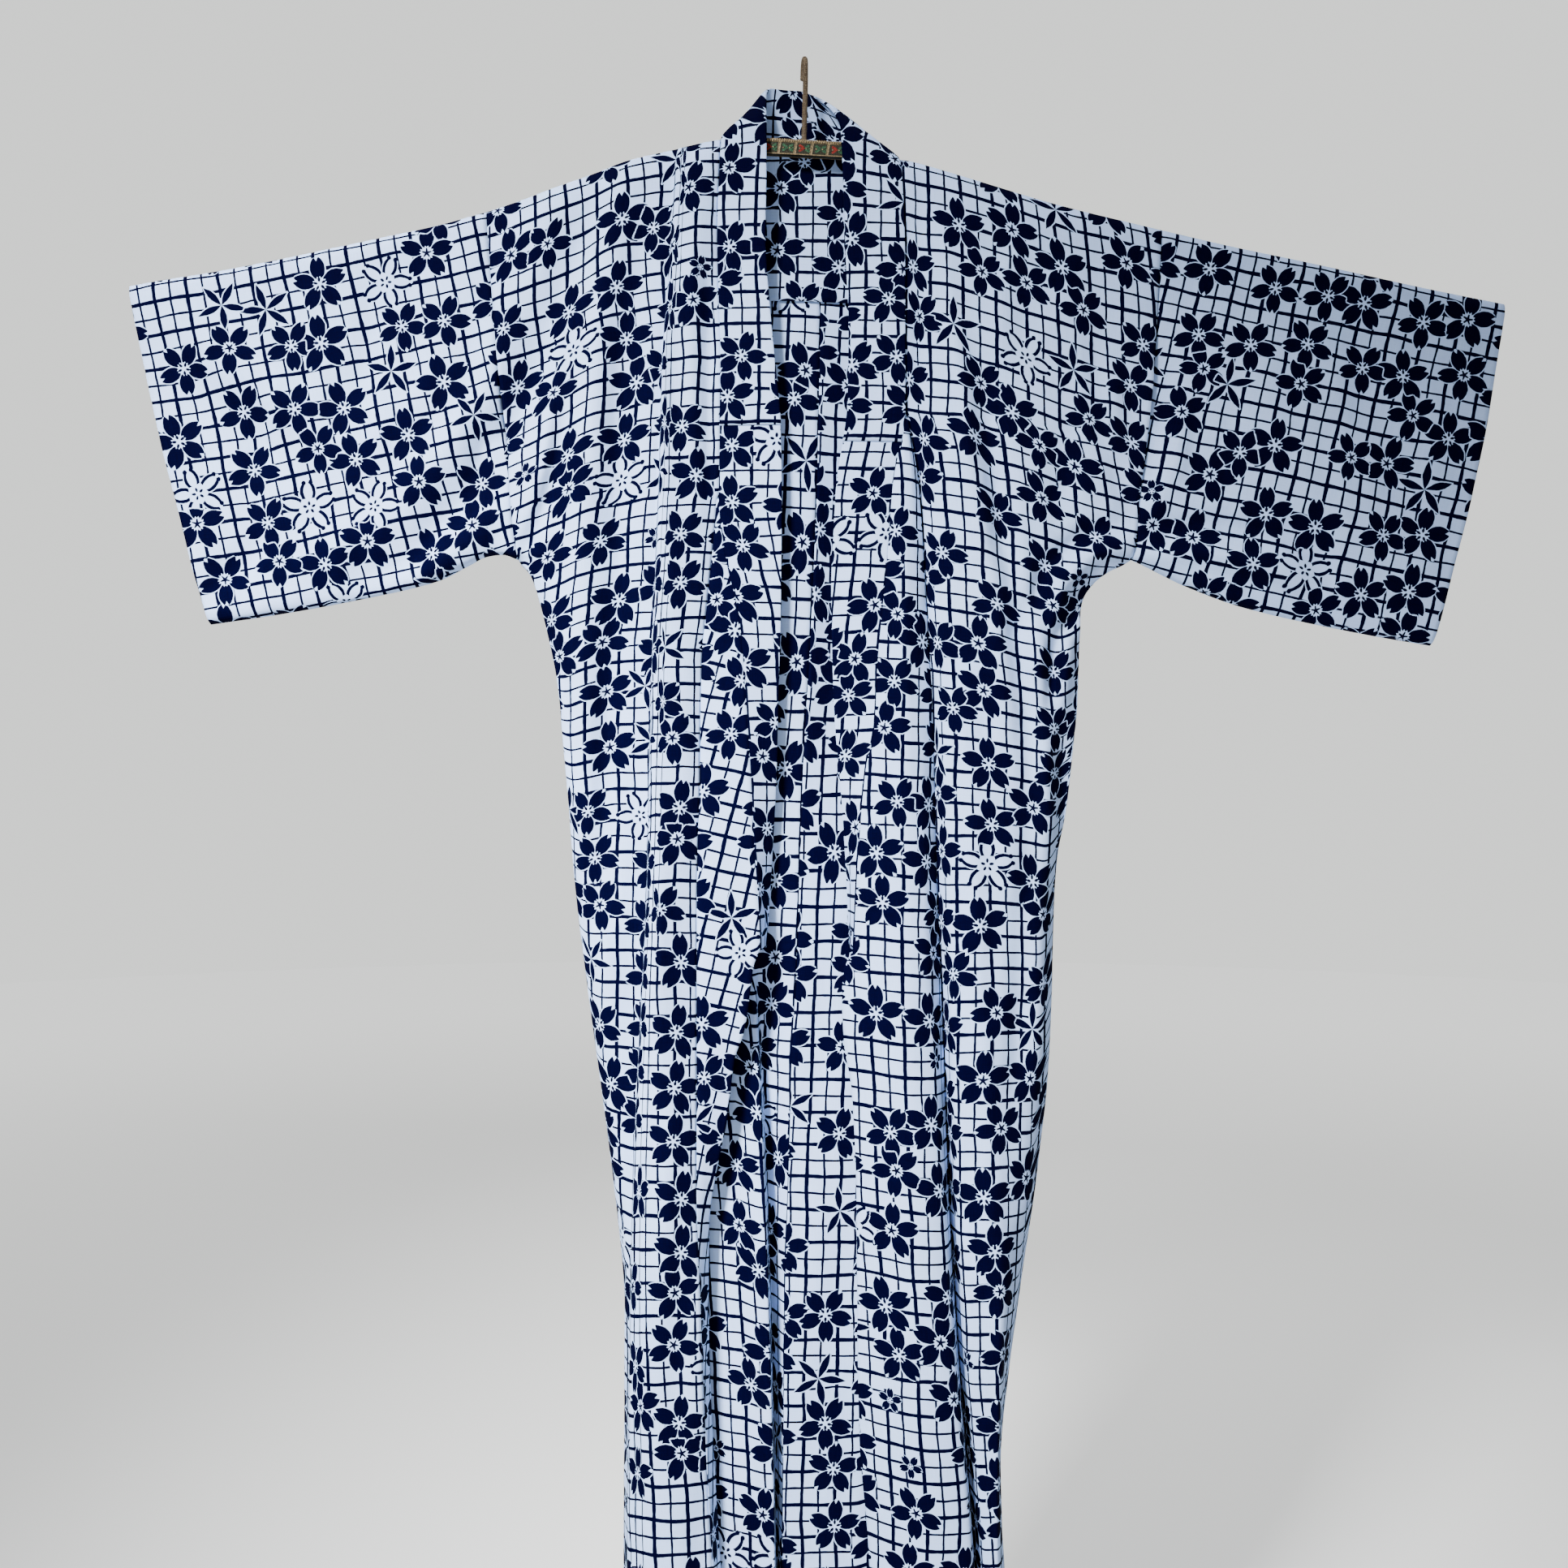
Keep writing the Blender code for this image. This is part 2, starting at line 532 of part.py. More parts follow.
def hook():
    """A wire hook whose loop turns toward the wall; its inside top is the origin."""
    centre_drop = HOOK_LOOP - HOOK_RADIUS
    path = [(0, BAR_CENTRE_DROP - BAR_HEIGHT / 2 - HOOK_GAP)] + list(HOOK_SHAFT)
    path += [(-HOOK_LOOP * math.cos(a), centre_drop - HOOK_LOOP * math.sin(a))
             for a in (math.pi * i / 10 for i in range(11))]
    path.append((HOOK_LOOP, HOOK_TIP_DROP))
    points = [(-y * math.sin(HOOK_TURN), y * math.cos(HOOK_TURN), drop) for y, drop in path]
    return rod("hanger_hook", points, HOOK_RADIUS, "cord", sides=3)


# ---------------------------------------------------------------- build
for old in list(bpy.data.objects):
    bpy.data.objects.remove(old)
ROBE = bpy.data.collections.new("yukata_on_hanger")
bpy.context.scene.collection.children.link(ROBE)

body("body_right", -1, SHOULDER_RIGHT, RIGHT_FRONT, RIGHT_SIDE, RIGHT_BACK, RIGHT_BACK_NECK,
     RIGHT_COLLAR_SEAM, RIGHT_OVERLAP_SEAM, RIGHT_OVERLAP_GAP, RIGHT_KENSAKI,
     [1, 1, 0, 2, 1, 1], [1, 1, 2, 0, 1, 1], [1, 0, 1])
body("body_left", 1, SHOULDER_LEFT, LEFT_FRONT, LEFT_SIDE, LEFT_BACK, LEFT_BACK_NECK,
     LEFT_COLLAR_SEAM, LEFT_OVERLAP_SEAM, LEFT_OVERLAP_GAP, LEFT_KENSAKI,
     [1, 2, 3, 3], [3, 3, 2, 1], [2, 1])
overlap("okumi_right", -1, RIGHT_OVERLAP_SEAM, RIGHT_OVERLAP_GAP, [], RIGHT_COLLAR_SEAM,
        RIGHT_FREE_EDGE, RIGHT_KENSAKI, [3])
overlap("okumi_left", 1, LEFT_OVERLAP_SEAM, LEFT_OVERLAP_GAP, LEFT_OVERLAP.values(),
        LEFT_COLLAR_SEAM, LEFT_FREE_EDGE, LEFT_KENSAKI, [1, 1, 1, 0])

STATIONS, RIGHT_COUNT, LEFT_COUNT = collar_stations()
sheet("collar", [(strip(STATIONS), False)], COLLAR_WALL, "collar")
OVER_STATIONS = STATIONS[RIGHT_COUNT - OVER_COLLAR_END_RIGHT:
                         len(STATIONS) - LEFT_COUNT + OVER_COLLAR_END_LEFT]
sheet("over_collar", [(strip(OVER_STATIONS, OVER_COLLAR_PROUD, OVER_COLLAR_INSET), False)],
      WALL, "collar")

sleeve("sleeve_right", RIGHT_SIDE, RIGHT_SLEEVE_TOP, RIGHT_SLEEVE_BOTTOM, RIGHT_CUFF_BOW, -1)
sleeve("sleeve_left", LEFT_SIDE, LEFT_SLEEVE_TOP, LEFT_SLEEVE_BOTTOM, LEFT_CUFF_BOW, 1)
lining()
hanger_bar()
hanger_arm("hanger_arm_right", SHOULDER_RIGHT, RIGHT_SLEEVE_TOP, -1)
hanger_arm("hanger_arm_left", SHOULDER_LEFT, LEFT_SLEEVE_TOP, 1)
hook()
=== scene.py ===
import itertools
import math
import bmesh
import bpy
import numpy as np
from mathutils import Matrix, Vector


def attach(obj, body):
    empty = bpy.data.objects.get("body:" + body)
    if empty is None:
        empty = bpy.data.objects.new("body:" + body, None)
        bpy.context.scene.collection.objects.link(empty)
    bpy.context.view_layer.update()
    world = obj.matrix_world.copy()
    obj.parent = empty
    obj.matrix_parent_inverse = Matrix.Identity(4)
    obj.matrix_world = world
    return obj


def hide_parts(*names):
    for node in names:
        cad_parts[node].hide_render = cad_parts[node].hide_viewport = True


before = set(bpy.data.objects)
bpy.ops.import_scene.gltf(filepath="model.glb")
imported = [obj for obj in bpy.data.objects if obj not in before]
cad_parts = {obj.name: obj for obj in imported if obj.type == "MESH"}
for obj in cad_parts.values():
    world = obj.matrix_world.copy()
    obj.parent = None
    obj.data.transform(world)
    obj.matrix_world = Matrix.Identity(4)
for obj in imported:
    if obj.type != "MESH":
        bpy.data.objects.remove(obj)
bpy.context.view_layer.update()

MM = 0.001
SPACING = 5.0  # between the points of a sheet
ROWS_ABOVE, ROWS_BELOW = 78, 208  # rows of points above and below the underarm
ROW_EASE, ROW_POWER = 0.45, 1.12  # how the upper rows crowd together at their ends
WELD = 0.02  # points nearer than this are joined
CLOTH = 0.6  # thickness of one layer with its texture
COLLAR_HALF = 1.0  # half the thickness of the folded collar band
OVER_COLLAR_HALF = 2.3

SEAM_GAP = 0.02  # between panels that are sewn together
UNDERARM = 470  # drop of the lowest point of the armholes
HEM = 1502  # drop of the hem
ROLL = 35  # the cloth turns over the hanger's arm within this height
ARMHOLE_HALF = 7.5  # half the hollow at the armhole and the cuff
ARMHOLE_ROLL = 14  # the sleeve turns over the hanger's arm within this height
COLLAR_START = 0.2  # share of the way down to the underarm, where the front collar starts
COLLAR_END = 836  # drop of the collar's lower ends
RIGHT_KENSAKI, LEFT_KENSAKI = 0.86, 0.64  # the same for the points of the overlap panels

# ---- fold lines: (drop, x, depth)
SHOULDER_RIGHT = ((-300, 141), (-254, 127), (-208, 108), (-162, 91), (-131, 84), (-79, 72))
SHOULDER_LEFT = ((91, 91), (130, 100), (161, 111), (222, 129), (283, 146), (337, 158))

RIGHT_COLLAR_SEAM = (
    (72, -79, -12), (170, -81, -13), (286, -78, -15), (414, -80, -18), (478, -72, -22),
    (524, -61, -25), (593, -55, -27), (670, -50, -28), (746, -46, -29), (808, -42, -30),
    (836, -41, -30))
RIGHT_OVERLAP_SEAM = (
    (414, -82, -18), (475, -87, -20), (572, -96, -23), (695, -98, -26), (785, -100, -28),
    (1054, -100, -32), (1172, -96, -34), (1337, -89, -36), (HEM, -78, -38))
RIGHT_FREE_EDGE = (
    (836, -41, -30), (850, -47, -30), (880, -51, -29), (912, -56, -28), (938, -65, -26),
    (989, -71, -24), (1054, -84, -20), (1092, -89, -16), (1169, -90, -14), (1246, -88, -14),
    (1361, -82, -15), (HEM, -72, -16))
RIGHT_FRONT = {
    "crest": ((82, -100, -16), (250, -106, -22), (424, -110, -24), (700, -118, -34),
        (1054, -126, -42), (1300, -124, -46), (HEM, -118, -48)),
    "pleat lip": ((80, -117, -15), (209, -124, -19), (278, -131, -21), (401, -133, -22),
        (570, -139, -28), (785, -144, -33), (967, -153, -36), (1169, -159, -37), (HEM, -163, -38)),
    "pleat foot": ((81, -122, -9), (209, -130, -8), (401, -138, -8), (570, -144, -12),
        (785, -149, -15), (967, -158, -17), (1169, -163, -18), (HEM, -167, -20)),
    "side dip": ((94, -170, -14), (401, -180, -17), (700, -184, -20), (850, -180, -20),
        (967, -174, -16), (1169, -166.5, -12), (HEM, -169, -12)),
    "side crest": ((118, -232, -12), (401, -236, -14), (600, -214, -15), (785, -203, -13),
        (967, -186, -9), (1169, -169, -5), (HEM, -170.5, -5)),
}
RIGHT_SIDE = (
    (141, -300, 0), (247, -291, 0), (370, -280, 0), (UNDERARM, -270, 0), (484, -260, 0),
    (518, -250, 0), (592, -234, 1), (646, -229, 1), (700, -224, 1), (785, -217, 2), (904, -202, 2),
    (967, -193, 2), (1054, -181, 2), (1148, -171, 2), (1238, -166, 2), (1313, -167, 2),
    (1399, -170, 2), (HEM, -172, 2))
RIGHT_BACK = {
    "side crest": ((118, -232, 10), (401, -234, 10), (600, -212, 10), (785, -198, 11),
        (967, -178, 11), (1169, -160, 11), (HEM, -160, 11)),
    "side dip": ((94, -170, 12), (401, -176, 12), (700, -172, 13), (967, -156, 13),
        (1169, -140, 13), (HEM, -142, 13)),
    "blade": ((81, -122, 13), (401, -140, 13), (700, -138, 16), (1054, -122, 17), (HEM, -124, 17)),
    "blade end": ((80, -117, 13), (401, -122, 13), (700, -116, 14), (1054, -106, 12),
        (HEM, -108, 10)),
    "fold rise": ((82, -100, 14), (401, -102, 13), (700, -96, 14), (850, -93, 14), (912, -90, 12),
        (1054, -90, 9), (1300, -84, -2), (HEM, -80, -6)),
    "fold crest": ((72, -79, 14), (401, -78, 14), (700, -70, 14), (850, -70, 13), (912, -68, 8),
        (1054, -62, 0), (1200, -59, -9), (1300, -56, -15), (HEM, -50, -20)),
}
RIGHT_BACK_NECK = {
    "fold edge": ((80, -52, 15), (240, -53, 10), (401, -54, 3), (593, -54, 2), (700, -53, 4),
        (850, -50, 5), (912, -46, -1), (1054, -38.5, -10), (1195, -33.5, -17), (1361, -29, -22),
        (HEM, -27, -24)),
    "shade valley": ((80.2, -28, 17), (240, -30, 7), (401, -34, -4), (593, -38, -4), (700, -44, 0),
        (850, -42, 8), (912, -41, 19), (1054, -35, 21), (1195, -30.5, 21), (1361, -27, 20),
        (HEM, -25.5, 19)),
}
BACK_SEAM = (
    (82, 17, 18), (223, 16, 12), (324, 14, 5), (401, 12, 1), (524, 7, -1), (670, -1, 0),
    (813, -6, 2), (977, -13, 1), (1054, -15, 0), (1169, -18, -3), (1361, -20, -6), (HEM, -21, -7))

LEFT_COLLAR_SEAM = (
    (91, 91, -12), (140, 93, -13), (209, 94, -14), (334, 94, -16), (401, 83, -18), (462, 78, -21),
    (506, 74, -23), (572, 68, -25), (634, 65, -26), (662, 58, -27), (708, 53, -27),
    (785, 48, -27), (836, 46, -27))
LEFT_OVERLAP_SEAM = (
    (334, 96, -16), (401, 107, -14), (523, 115, -14), (621, 121, -15), (720, 123, -15),
    (879, 129, -14), (1015, 134, -11), (1195, 144, -6), (1361, 157, -2), (HEM, 166, -1))
LEFT_FREE_EDGE = (
    (836, 46, -27), (855, 37, -26), (879, 35, -26), (923, 37, -27), (967, 44, -28),
    (1054, 48, -30), (1172, 49, -32), (1289, 51, -32), (1384, 59, -32), (HEM, 64, -32))
LEFT_OVERLAP = {
    "ridge": ((334, 95.2, -16), (401, 99, -21), (523, 102, -24), (597, 104, -27), (695, 107, -31),
        (813, 111, -35), (945, 118, -39), (1054, 125, -42), (1172, 133, -45), (1266, 141, -46),
        (1361, 150, -47), (HEM, 159, -48)),
    "crest": ((334, 94.6, -16), (401, 93, -22), (597, 93, -31), (785, 91, -40), (1054, 99, -50),
        (1266, 108, -54), (HEM, 120, -56)),
    "bend": ((334, 94.2, -16), (401, 88, -20), (597, 79, -28), (785, 66, -34), (1054, 70, -41),
        (1266, 74, -43), (HEM, 88, -44)),
}
LEFT_FRONT = {
    "valley lip": ((95, 106, -12), (247, 111, -16), (401, 118, -19), (511, 122, -22),
        (621, 130, -26), (785, 135, -30), (879, 137, -32), (1015, 142, -34), (1195, 151, -34),
        (1361, 164, -33), (HEM, 172, -32)),
    "chest": ((112, 160, -16), (401, 165, -23), (621, 170, -30), (900, 180, -37), (1200, 178, -40),
        (1361, 177, -36), (HEM, 180, -34)),
    "side": ((135, 240, -12), (401, 236, -17), (600, 226, -20), (800, 218, -21), (1000, 210, -20),
        (1148, 198, -17), (1302, 184, -12), (HEM, 190, -12)),
}
LEFT_SIDE = (
    (158, 337, 0), (309, 328, 0), (401, 318, 0), (UNDERARM, 309, 0), (480, 291, 0), (492, 276, 0),
    (508, 266, 0), (530, 263, 0), (607, 261, 1), (646, 257, 1), (707, 250, 2), (757, 240, 2),
    (822, 237, 2), (890, 235, 2), (967, 231, 2), (1044, 222, 2), (1148, 207, 2), (1238, 194, 2),
    (1302, 187, 2), (1349, 185, 2), (1424, 190, 2), (HEM, 193, 2))
LEFT_BACK = {
    "side": ((135, 240, 10), (401, 232, 11), (600, 222, 12), (1000, 206, 13), (1302, 164, 13),
        (HEM, 166, 13)),
    "blade": ((112, 160, 13), (401, 162, 12), (700, 156, 17), (1054, 150, 16), (HEM, 128, 16)),
    "fold": ((95, 106, 14), (401, 112, 14), (700, 106, 10), (1054, 100, 9), (HEM, 88, 8)),
    "neck point": ((91, 91, 14), (401, 88, 14), (700, 78, 9), (1054, 70, 3), (HEM, 62, -1)),
}
LEFT_BACK_NECK = {
    "inner": ((84, 50, 17.5), (401, 50, 14), (700, 40, 8), (1054, 34, 1), (HEM, 34, -4)),
}

# Collar: the free inner edge on each front, and the stations round the neck, each with its sewn
# edge (x, depth, drop) and its free edge (x, depth, drop).
RIGHT_COLLAR_FREE = (
    (140, -36.5, -15), (170, -37, -16), (232, -33, -17), (286, -28, -18), (355, -22, -20),
    (401, -21, -21), (524, -22, -22), (593, -24, -20), (670, -26, -16), (746, -30, -10),
    (808, -34, -4), (836, -36, -2))
LEFT_COLLAR_FREE = (
    (140, 38, -15), (201, 40, -16), (247, 42, -17), (324, 41, -19), (401, 30, -21), (450, 27, -22),
    (499, 25, -22), (593, 27, -20), (631, 29, -17), (670, 33, -13), (719, 37, -8), (785, 41, -2),
    (836, 43, 0))
NECK_STATIONS = (
    (-78.6, -11.8, 98, -36, -14, 98), (-77.9, -8, 82, -36, -11, 72),
    (-77.2, -1, 71, -36, -8, 55), (-75, 6, 76, -36.5, -3, 40),
    (-62, 13, 81, -36.5, 4, 26), (-36, 18, 81, -30, 12, 19.5),
    (0, 19, 82, -8, 17, 19.5), (34, 19, 84, 6, 16, 23),
    (62, 16.5, 88.5, 17, 10, 31), (80, 10, 92, 27, 2, 43),
    (88, 1.5, 89.5, 35, -7, 64), (90.6, -9, 103, 36, -11, 88),
    (92, -12.6, 125, 37, -14, 118),
)
# Sleeves: (drop, x) along the top fold, the bottom fold and the cuff.
RIGHT_SLEEVE_TOP = ((-300, 141), (-343, 153), (-411, 168), (-531, 193), (-637, 211))
RIGHT_SLEEVE_BOTTOM = ((-270, 470), (-285, 465), (-300, 467), (-316, 475), (-346, 490),
                       (-408, 505), (-500, 522), (-561, 531))
RIGHT_CUFF_BOW = 4  # the cuff swells outward by this much in its middle
LEFT_SLEEVE_TOP = ((337, 158), (406, 174), (468, 187), (591, 214), (661, 228))
LEFT_SLEEVE_BOTTOM = ((309, 470), (320, 475), (346, 488), (361, 495), (416, 515), (529, 540),
                      (592, 551))
LEFT_CUFF_BOW = 7
SLEEVE_FRONT_SWELL, SLEEVE_BACK_SWELL = 10, 9
SLEEVE_COLUMNS = 68
CUFF_HEM = 15  # cloth turned in at the cuff
CUFF_HEM_COLUMNS = 5
CUFF_FOLD = 1.0  # between the cuff's two layers

NECK_BOW = 5.5  # the collar's outer face swells by this much round the neck
NECK_BOW_BELOW, NECK_BOW_GROWTH = 97, 35  # it starts at this drop, and is full so far above it
NECK_STEPS = 150
BAND_POINTS = 41  # round the section of a collar band
BAND_ROUND, BAND_LIFT = 0.55, 0.35  # powers that square its round section
OVER_COLLAR_DROP_RIGHT, OVER_COLLAR_DROP_LEFT = 343, 366  # drops of the over-collar's ends
OVER_COLLAR_GROW = 0.7  # it reaches this far past the collar's edges
OVER_COLLAR_PRINT = (210, 90)  # where in the printed cloth it was cut
LINING_PRINT = (130, 40)

LINING_TOP, LINING_HEM = 81, 223  # drops
LINING_HALF = 62
LINING_ROWS, LINING_COLUMNS = 34, 32
LINING_DEPTH_GAP, LINING_GAP_GROWTH = 1.5, 12  # in front of the back, once so far below its top
LINING_HEM_ROWS, LINING_HEM_PROUD = 3, 0.4  # its hem stands forward

SIDE_REACH, SIDE_PASSES = 8, 6  # columns softened on each side of the side fold, and how often
FRONT_RIPPLE, BACK_RIPPLE, SLEEVE_RIPPLE, OVERLAP_RIPPLE = 1.6, 1.0, 1.2, 0.5
RIPPLES = 14  # waves that are added together
RIPPLE_WAVE = (22, 75)  # the shortest and the longest
RIPPLE_LEAN, RIPPLE_DROP = 0.35, 0.55  # how far they lean, and how little of it shows downward
RIPPLE_SCALE = 180
FULL_TURN = 6.28

# Hanger
BAR_HALF_LENGTH = 40
BAR_CENTRE_DROP = 81
BAR_HEIGHT = 14.6
BAR_DEPTH = 7
BAR_TILT = math.radians(3)
BAR_FRAMES = 5
BAR_RAILS = ((-6.8, 0.8), (4.2, 0.4))  # height on the bar, and thickness
BAR_RIB, BAR_RIB_PITCH = (5.9, 1.5, 1.3, 2.6, 0.3), 2.2
BAR_END = 1  # rails, ribs and frames stop this far inside the bar's ends
# Marks on the bar: x from the frame's edge or middle, height, size in x, y and z, and turn.
POSTS = ((0.5, -1, 1.5, 1.2, 11.6, 0.12), (-0.9, -1, 0.5, 0.9, 11.6, 0.12))
POST_SPREAD = 0.985
LEFT_MARKS = ((-3.2, 0.8, 4.6, 0.8, 2.3, 0.55), (-3.4, -2.8, 4.4, 0.8, 2.1, -0.6),
              (-0.8, -1, 1.6, 0.8, 2, 0.8))
RIGHT_MARKS = ((2.6, 0.9, 4.4, 0.7, 2, -0.6), (3, -2.9, 4.6, 0.7, 2.2, 0.5),
               (4.6, -1, 1.6, 0.7, 1.8, 0.8))
GILT_MARKS = ((-4.6, -1, 1.1, 0.7, 1.1, 0.78), (1.4, -1, 1.1, 0.7, 1.1, 0.78))
HOOK_RADIUS = 2.65
HOOK_LOOP = 13  # radius of the hook's centre line
HOOK_SHAFT = ((0, 71), (-2, 62), (-6, 48), (-10, 34), (-12.5, 22))  # depth, drop
HOOK_TIP_DROP = 10.5
HOOK_TURN = math.radians(5)
CORD_THICK = 0.6  # radius of the cord
CORD_PITCH = 1.25
CORD_STEPS = 12  # points in one turn

# The camera looks level at the robe, from (x, y, z) in metres.
CAMERA = (-0.019, -1.49, -0.682)
CAMERA_ANGLE = 52.94
BACKDROP = (0.98, 1.0, 0.98, 1)
FLOOR_CLEAR = 0.35  # below the hem
FLOOR_GLOW, FLOOR_GLOW_BETWEEN = 0.55, (1.2, 7.0)  # strength, and where it grows

# ---- creases
CREASE_END, CREASE_TAPER = 0.06, 0.7  # how a crease begins and how fast it rises
# Half width, height out of the cloth, and the places (x, drop) that each one passes.
RIGHT_SLING_RIDGE = (20, 8, (-218, 90, -238, 132, -274, 236, -300, 316, -350, 384, -394, 438,
                               -468, 474))
RIGHT_SLING_TROUGH = (18, -9, (-188, 110, -207, 156, -242, 258, -271, 342, -318, 412, -370, 474,
                                 -464, 514))
RIGHT_FRONT_CREASES = (
    RIGHT_SLING_RIDGE, RIGHT_SLING_TROUGH,
    (14, 6, (-178, 130, -196, 300, -205, 430, -208, 590, -213, 809)),
    (13, -8, (-153, 130, -169, 270, -177, 398, -180, 590, -186, 809)),
    (14, -5, (-184, 520, -188, 640, -196, 830)),
    (14, 6, (-134, 160, -142, 400, -146, 700, -142, 900)),
    (7, -6, (-90, 190, -88, 450)),
    (10, 4, (-106, 190, -107, 450)),
    (9, 7, (-262, 440, -242, 380, -236, 300)),
    (8, -6.6, (-266, 474, -246, 424, -226, 340)),
    (10, 7, (-262, 470, -236, 530, -216, 640)),
    (8, -6.6, (-256, 480, -222, 590, -208, 700)),
    (12, -5, (-150, 620, -156, 800, -166, 1000)),
    (14, 5, (-118, 430, -130, 700, -144, 980)),
    (12, -4.6, (-110, 900, -118, 1150, -114, 1400)),
)
RIGHT_BACK_CREASES = (
    (12, 5, (-258, 470, -200, 560)), (10, 4.4, (-250, 455, -215, 330)),
    (24, 6, (-120, 300, -110, 900)), (20, 5, (-180, 350, -160, 800)),
    (20, -6, (-150, 260, -140, 700, -128, 1200)), (16, -5, (-226, 420, -190, 760)),
)
LEFT_FRONT_CREASES = (
    (14, -8, (108, 123, 112, 300, 120, 561)),
    (10, 5, (132, 160, 142, 300, 158, 470)),
    (13, 7, (142, 270, 172, 480, 196, 680)),
    (13, -8.5, (164, 280, 196, 507, 216, 699)),
    (12, 6, (184, 330, 216, 560, 232, 760)),
    (9, -6, (208, 420, 236, 600, 246, 740)),
    (9, 8.4, (306, 456, 272, 468, 240, 496, 218, 570)),
    (9, -8.4, (298, 436, 262, 448, 228, 478, 200, 540)),
    (9, 6.6, (270, 518, 248, 550, 236, 640)),
    (8, -6, (276, 500, 240, 540, 222, 640)),
    (10, -5.8, (306, 430, 280, 350, 268, 260)),
    (12, 5.6, (150, 640, 162, 900, 176, 1150)),
    (14, -5.4, (206, 760, 196, 960, 184, 1150)),
    (14, 5.4, (228, 700, 218, 900, 198, 1120)),
)
LEFT_BACK_CREASES = (
    (12, 5, (296, 474, 236, 560)), (10, 4.4, (286, 460, 250, 330)),
    (24, 6, (150, 300, 140, 900)), (20, 5, (200, 350, 190, 800)),
    (20, -6, (176, 300, 168, 700, 150, 1150)), (16, -5, (246, 420, 226, 760)),
)
RIGHT_SLEEVE_CREASES = (
    RIGHT_SLING_RIDGE, RIGHT_SLING_TROUGH,
    (14, 6, (-276, 416, -318, 452, -380, 494)),
    (28, -8, (-596, 280, -532, 340, -450, 412)),
    (26, 8, (-604, 230, -545, 290, -456, 350)),
    (20, 5.4, (-330, 220, -345, 300, -410, 370)),
    (9, -6, (-288, 452, -300, 400, -304, 340)),
    (14, -5.4, (-400, 200, -412, 280, -436, 340)),
    (14, -5.4, (-505, 452, -560, 500)),
)
LEFT_SLEEVE_CREASES = (
    (9, 8.4, (318, 468, 370, 466, 440, 480, 510, 518)),
    (10, -8, (320, 444, 380, 436, 452, 448, 500, 480)),
    (12, 7, (318, 440, 348, 380, 356, 300)),
    (10, -6.4, (322, 420, 336, 340, 338, 260)),
    (32, -7, (360, 206, 470, 240, 640, 290)),
    (26, 7.6, (400, 340, 480, 390, 560, 470)),
    (22, -6, (520, 300, 560, 390, 600, 470)),
    (16, -5.4, (430, 500, 520, 530)),
)

# ---- smooth tables
def run_along(points):
    """Length from the first point to each point of a line."""
    return np.append(0, np.cumsum(np.linalg.norm(np.diff(points, axis=0), axis=1)))


def tangents(knots, values):
    """Slopes that keep each stretch of a table monotone, so no curve swings past its points."""
    steps = np.diff(values, axis=0) / np.diff(knots)[:, None]
    both, total = steps[:-1] * steps[1:], steps[:-1] + steps[1:]
    inner = np.where(both > 0, 2 * both / np.where(total == 0, 1, total), 0)
    return np.vstack([steps[:1], inner, steps[-1:]])


def curve(knots, values, at):
    """Smooth values at each place of `at`, one row each."""
    knots, values = np.asarray(knots, float), np.asarray(values, float)
    at = np.clip(at, knots[0], knots[-1])
    i = np.clip(np.searchsorted(knots, at, side="right") - 1, 0, len(knots) - 2)
    width = (knots[i + 1] - knots[i])[:, None]
    t = ((at - knots[i]) / width[:, 0])[:, None]
    slope = tangents(knots, values)
    return ((1 + 2 * t) * (1 - t) ** 2 * values[i] + t * (1 - t) ** 2 * width * slope[i]
            + t * t * (3 - 2 * t) * values[i + 1] - t * t * (1 - t) * width * slope[i + 1])


def read(table, at):
    """The other columns of a table at each value of its first column."""
    rows = np.array(sorted(table), float)
    return curve(rows[:, 0], rows[:, 1:], np.atleast_1d(at).astype(float))


def loft(lines, columns=None):
    """Points through fold lines (lines, rows, 3), as (rows, columns, 3)."""
    lines = np.array(lines)
    gaps = np.linalg.norm(np.diff(lines, axis=0), axis=2).max(axis=1)
    if columns:
        at = np.interp(np.linspace(0, gaps.sum(), columns), np.append(0, np.cumsum(gaps)),
                       np.arange(len(lines)))
    else:
        at = [np.arange(n) / n + k for k, n in enumerate(np.ceil(gaps / SPACING).clip(1))]
        at = np.append(np.concatenate(at), len(lines) - 1)
    points = curve(np.arange(len(lines)), lines.reshape(len(lines), -1), at)
    return points.reshape(len(at), -1, 3).transpose(1, 0, 2)


# ---- fold lines of the panels
def eased(count):
    """Shares from 0 to 1, closer together near both ends, where the cloth turns."""
    t = np.linspace(0, 1, count)
    return ((1 - ROW_EASE) * t + ROW_EASE * (0.5 - 0.5 * np.cos(np.pi * t))) ** ROW_POWER


SHARES = eased(ROWS_ABOVE)
DROPS = np.linspace(UNDERARM, HEM, ROWS_BELOW)[1:]


def rows_from(top):
    """The drop of each row, of which the first is at the shoulder or the neck."""
    return np.append(top + SHARES * (UNDERARM - top), DROPS)


def quarter_round(share):
    """Height of a quarter circle at a share of its width."""
    return np.sqrt(1 - (1 - np.clip(share, 0, 1)) ** 2)


def fold_line(line, top=None, rolls=True):
    """The points of one fold line at every row, from its top at the shoulder or neck."""
    top = line[0][0] if top is None else top
    drops = rows_from(top)
    points = np.column_stack([read(line, drops), drops])
    if rolls:
        points[:, 1] *= quarter_round((drops - top) / ROLL)
    return points


def armhole_round(share):
    """Share of the full half hollow, which closes in a round at the top and bottom folds."""
    near = np.minimum(share, 1 - share) * (UNDERARM - RIGHT_SIDE[0][0])
    return quarter_round(near / ARMHOLE_ROLL)


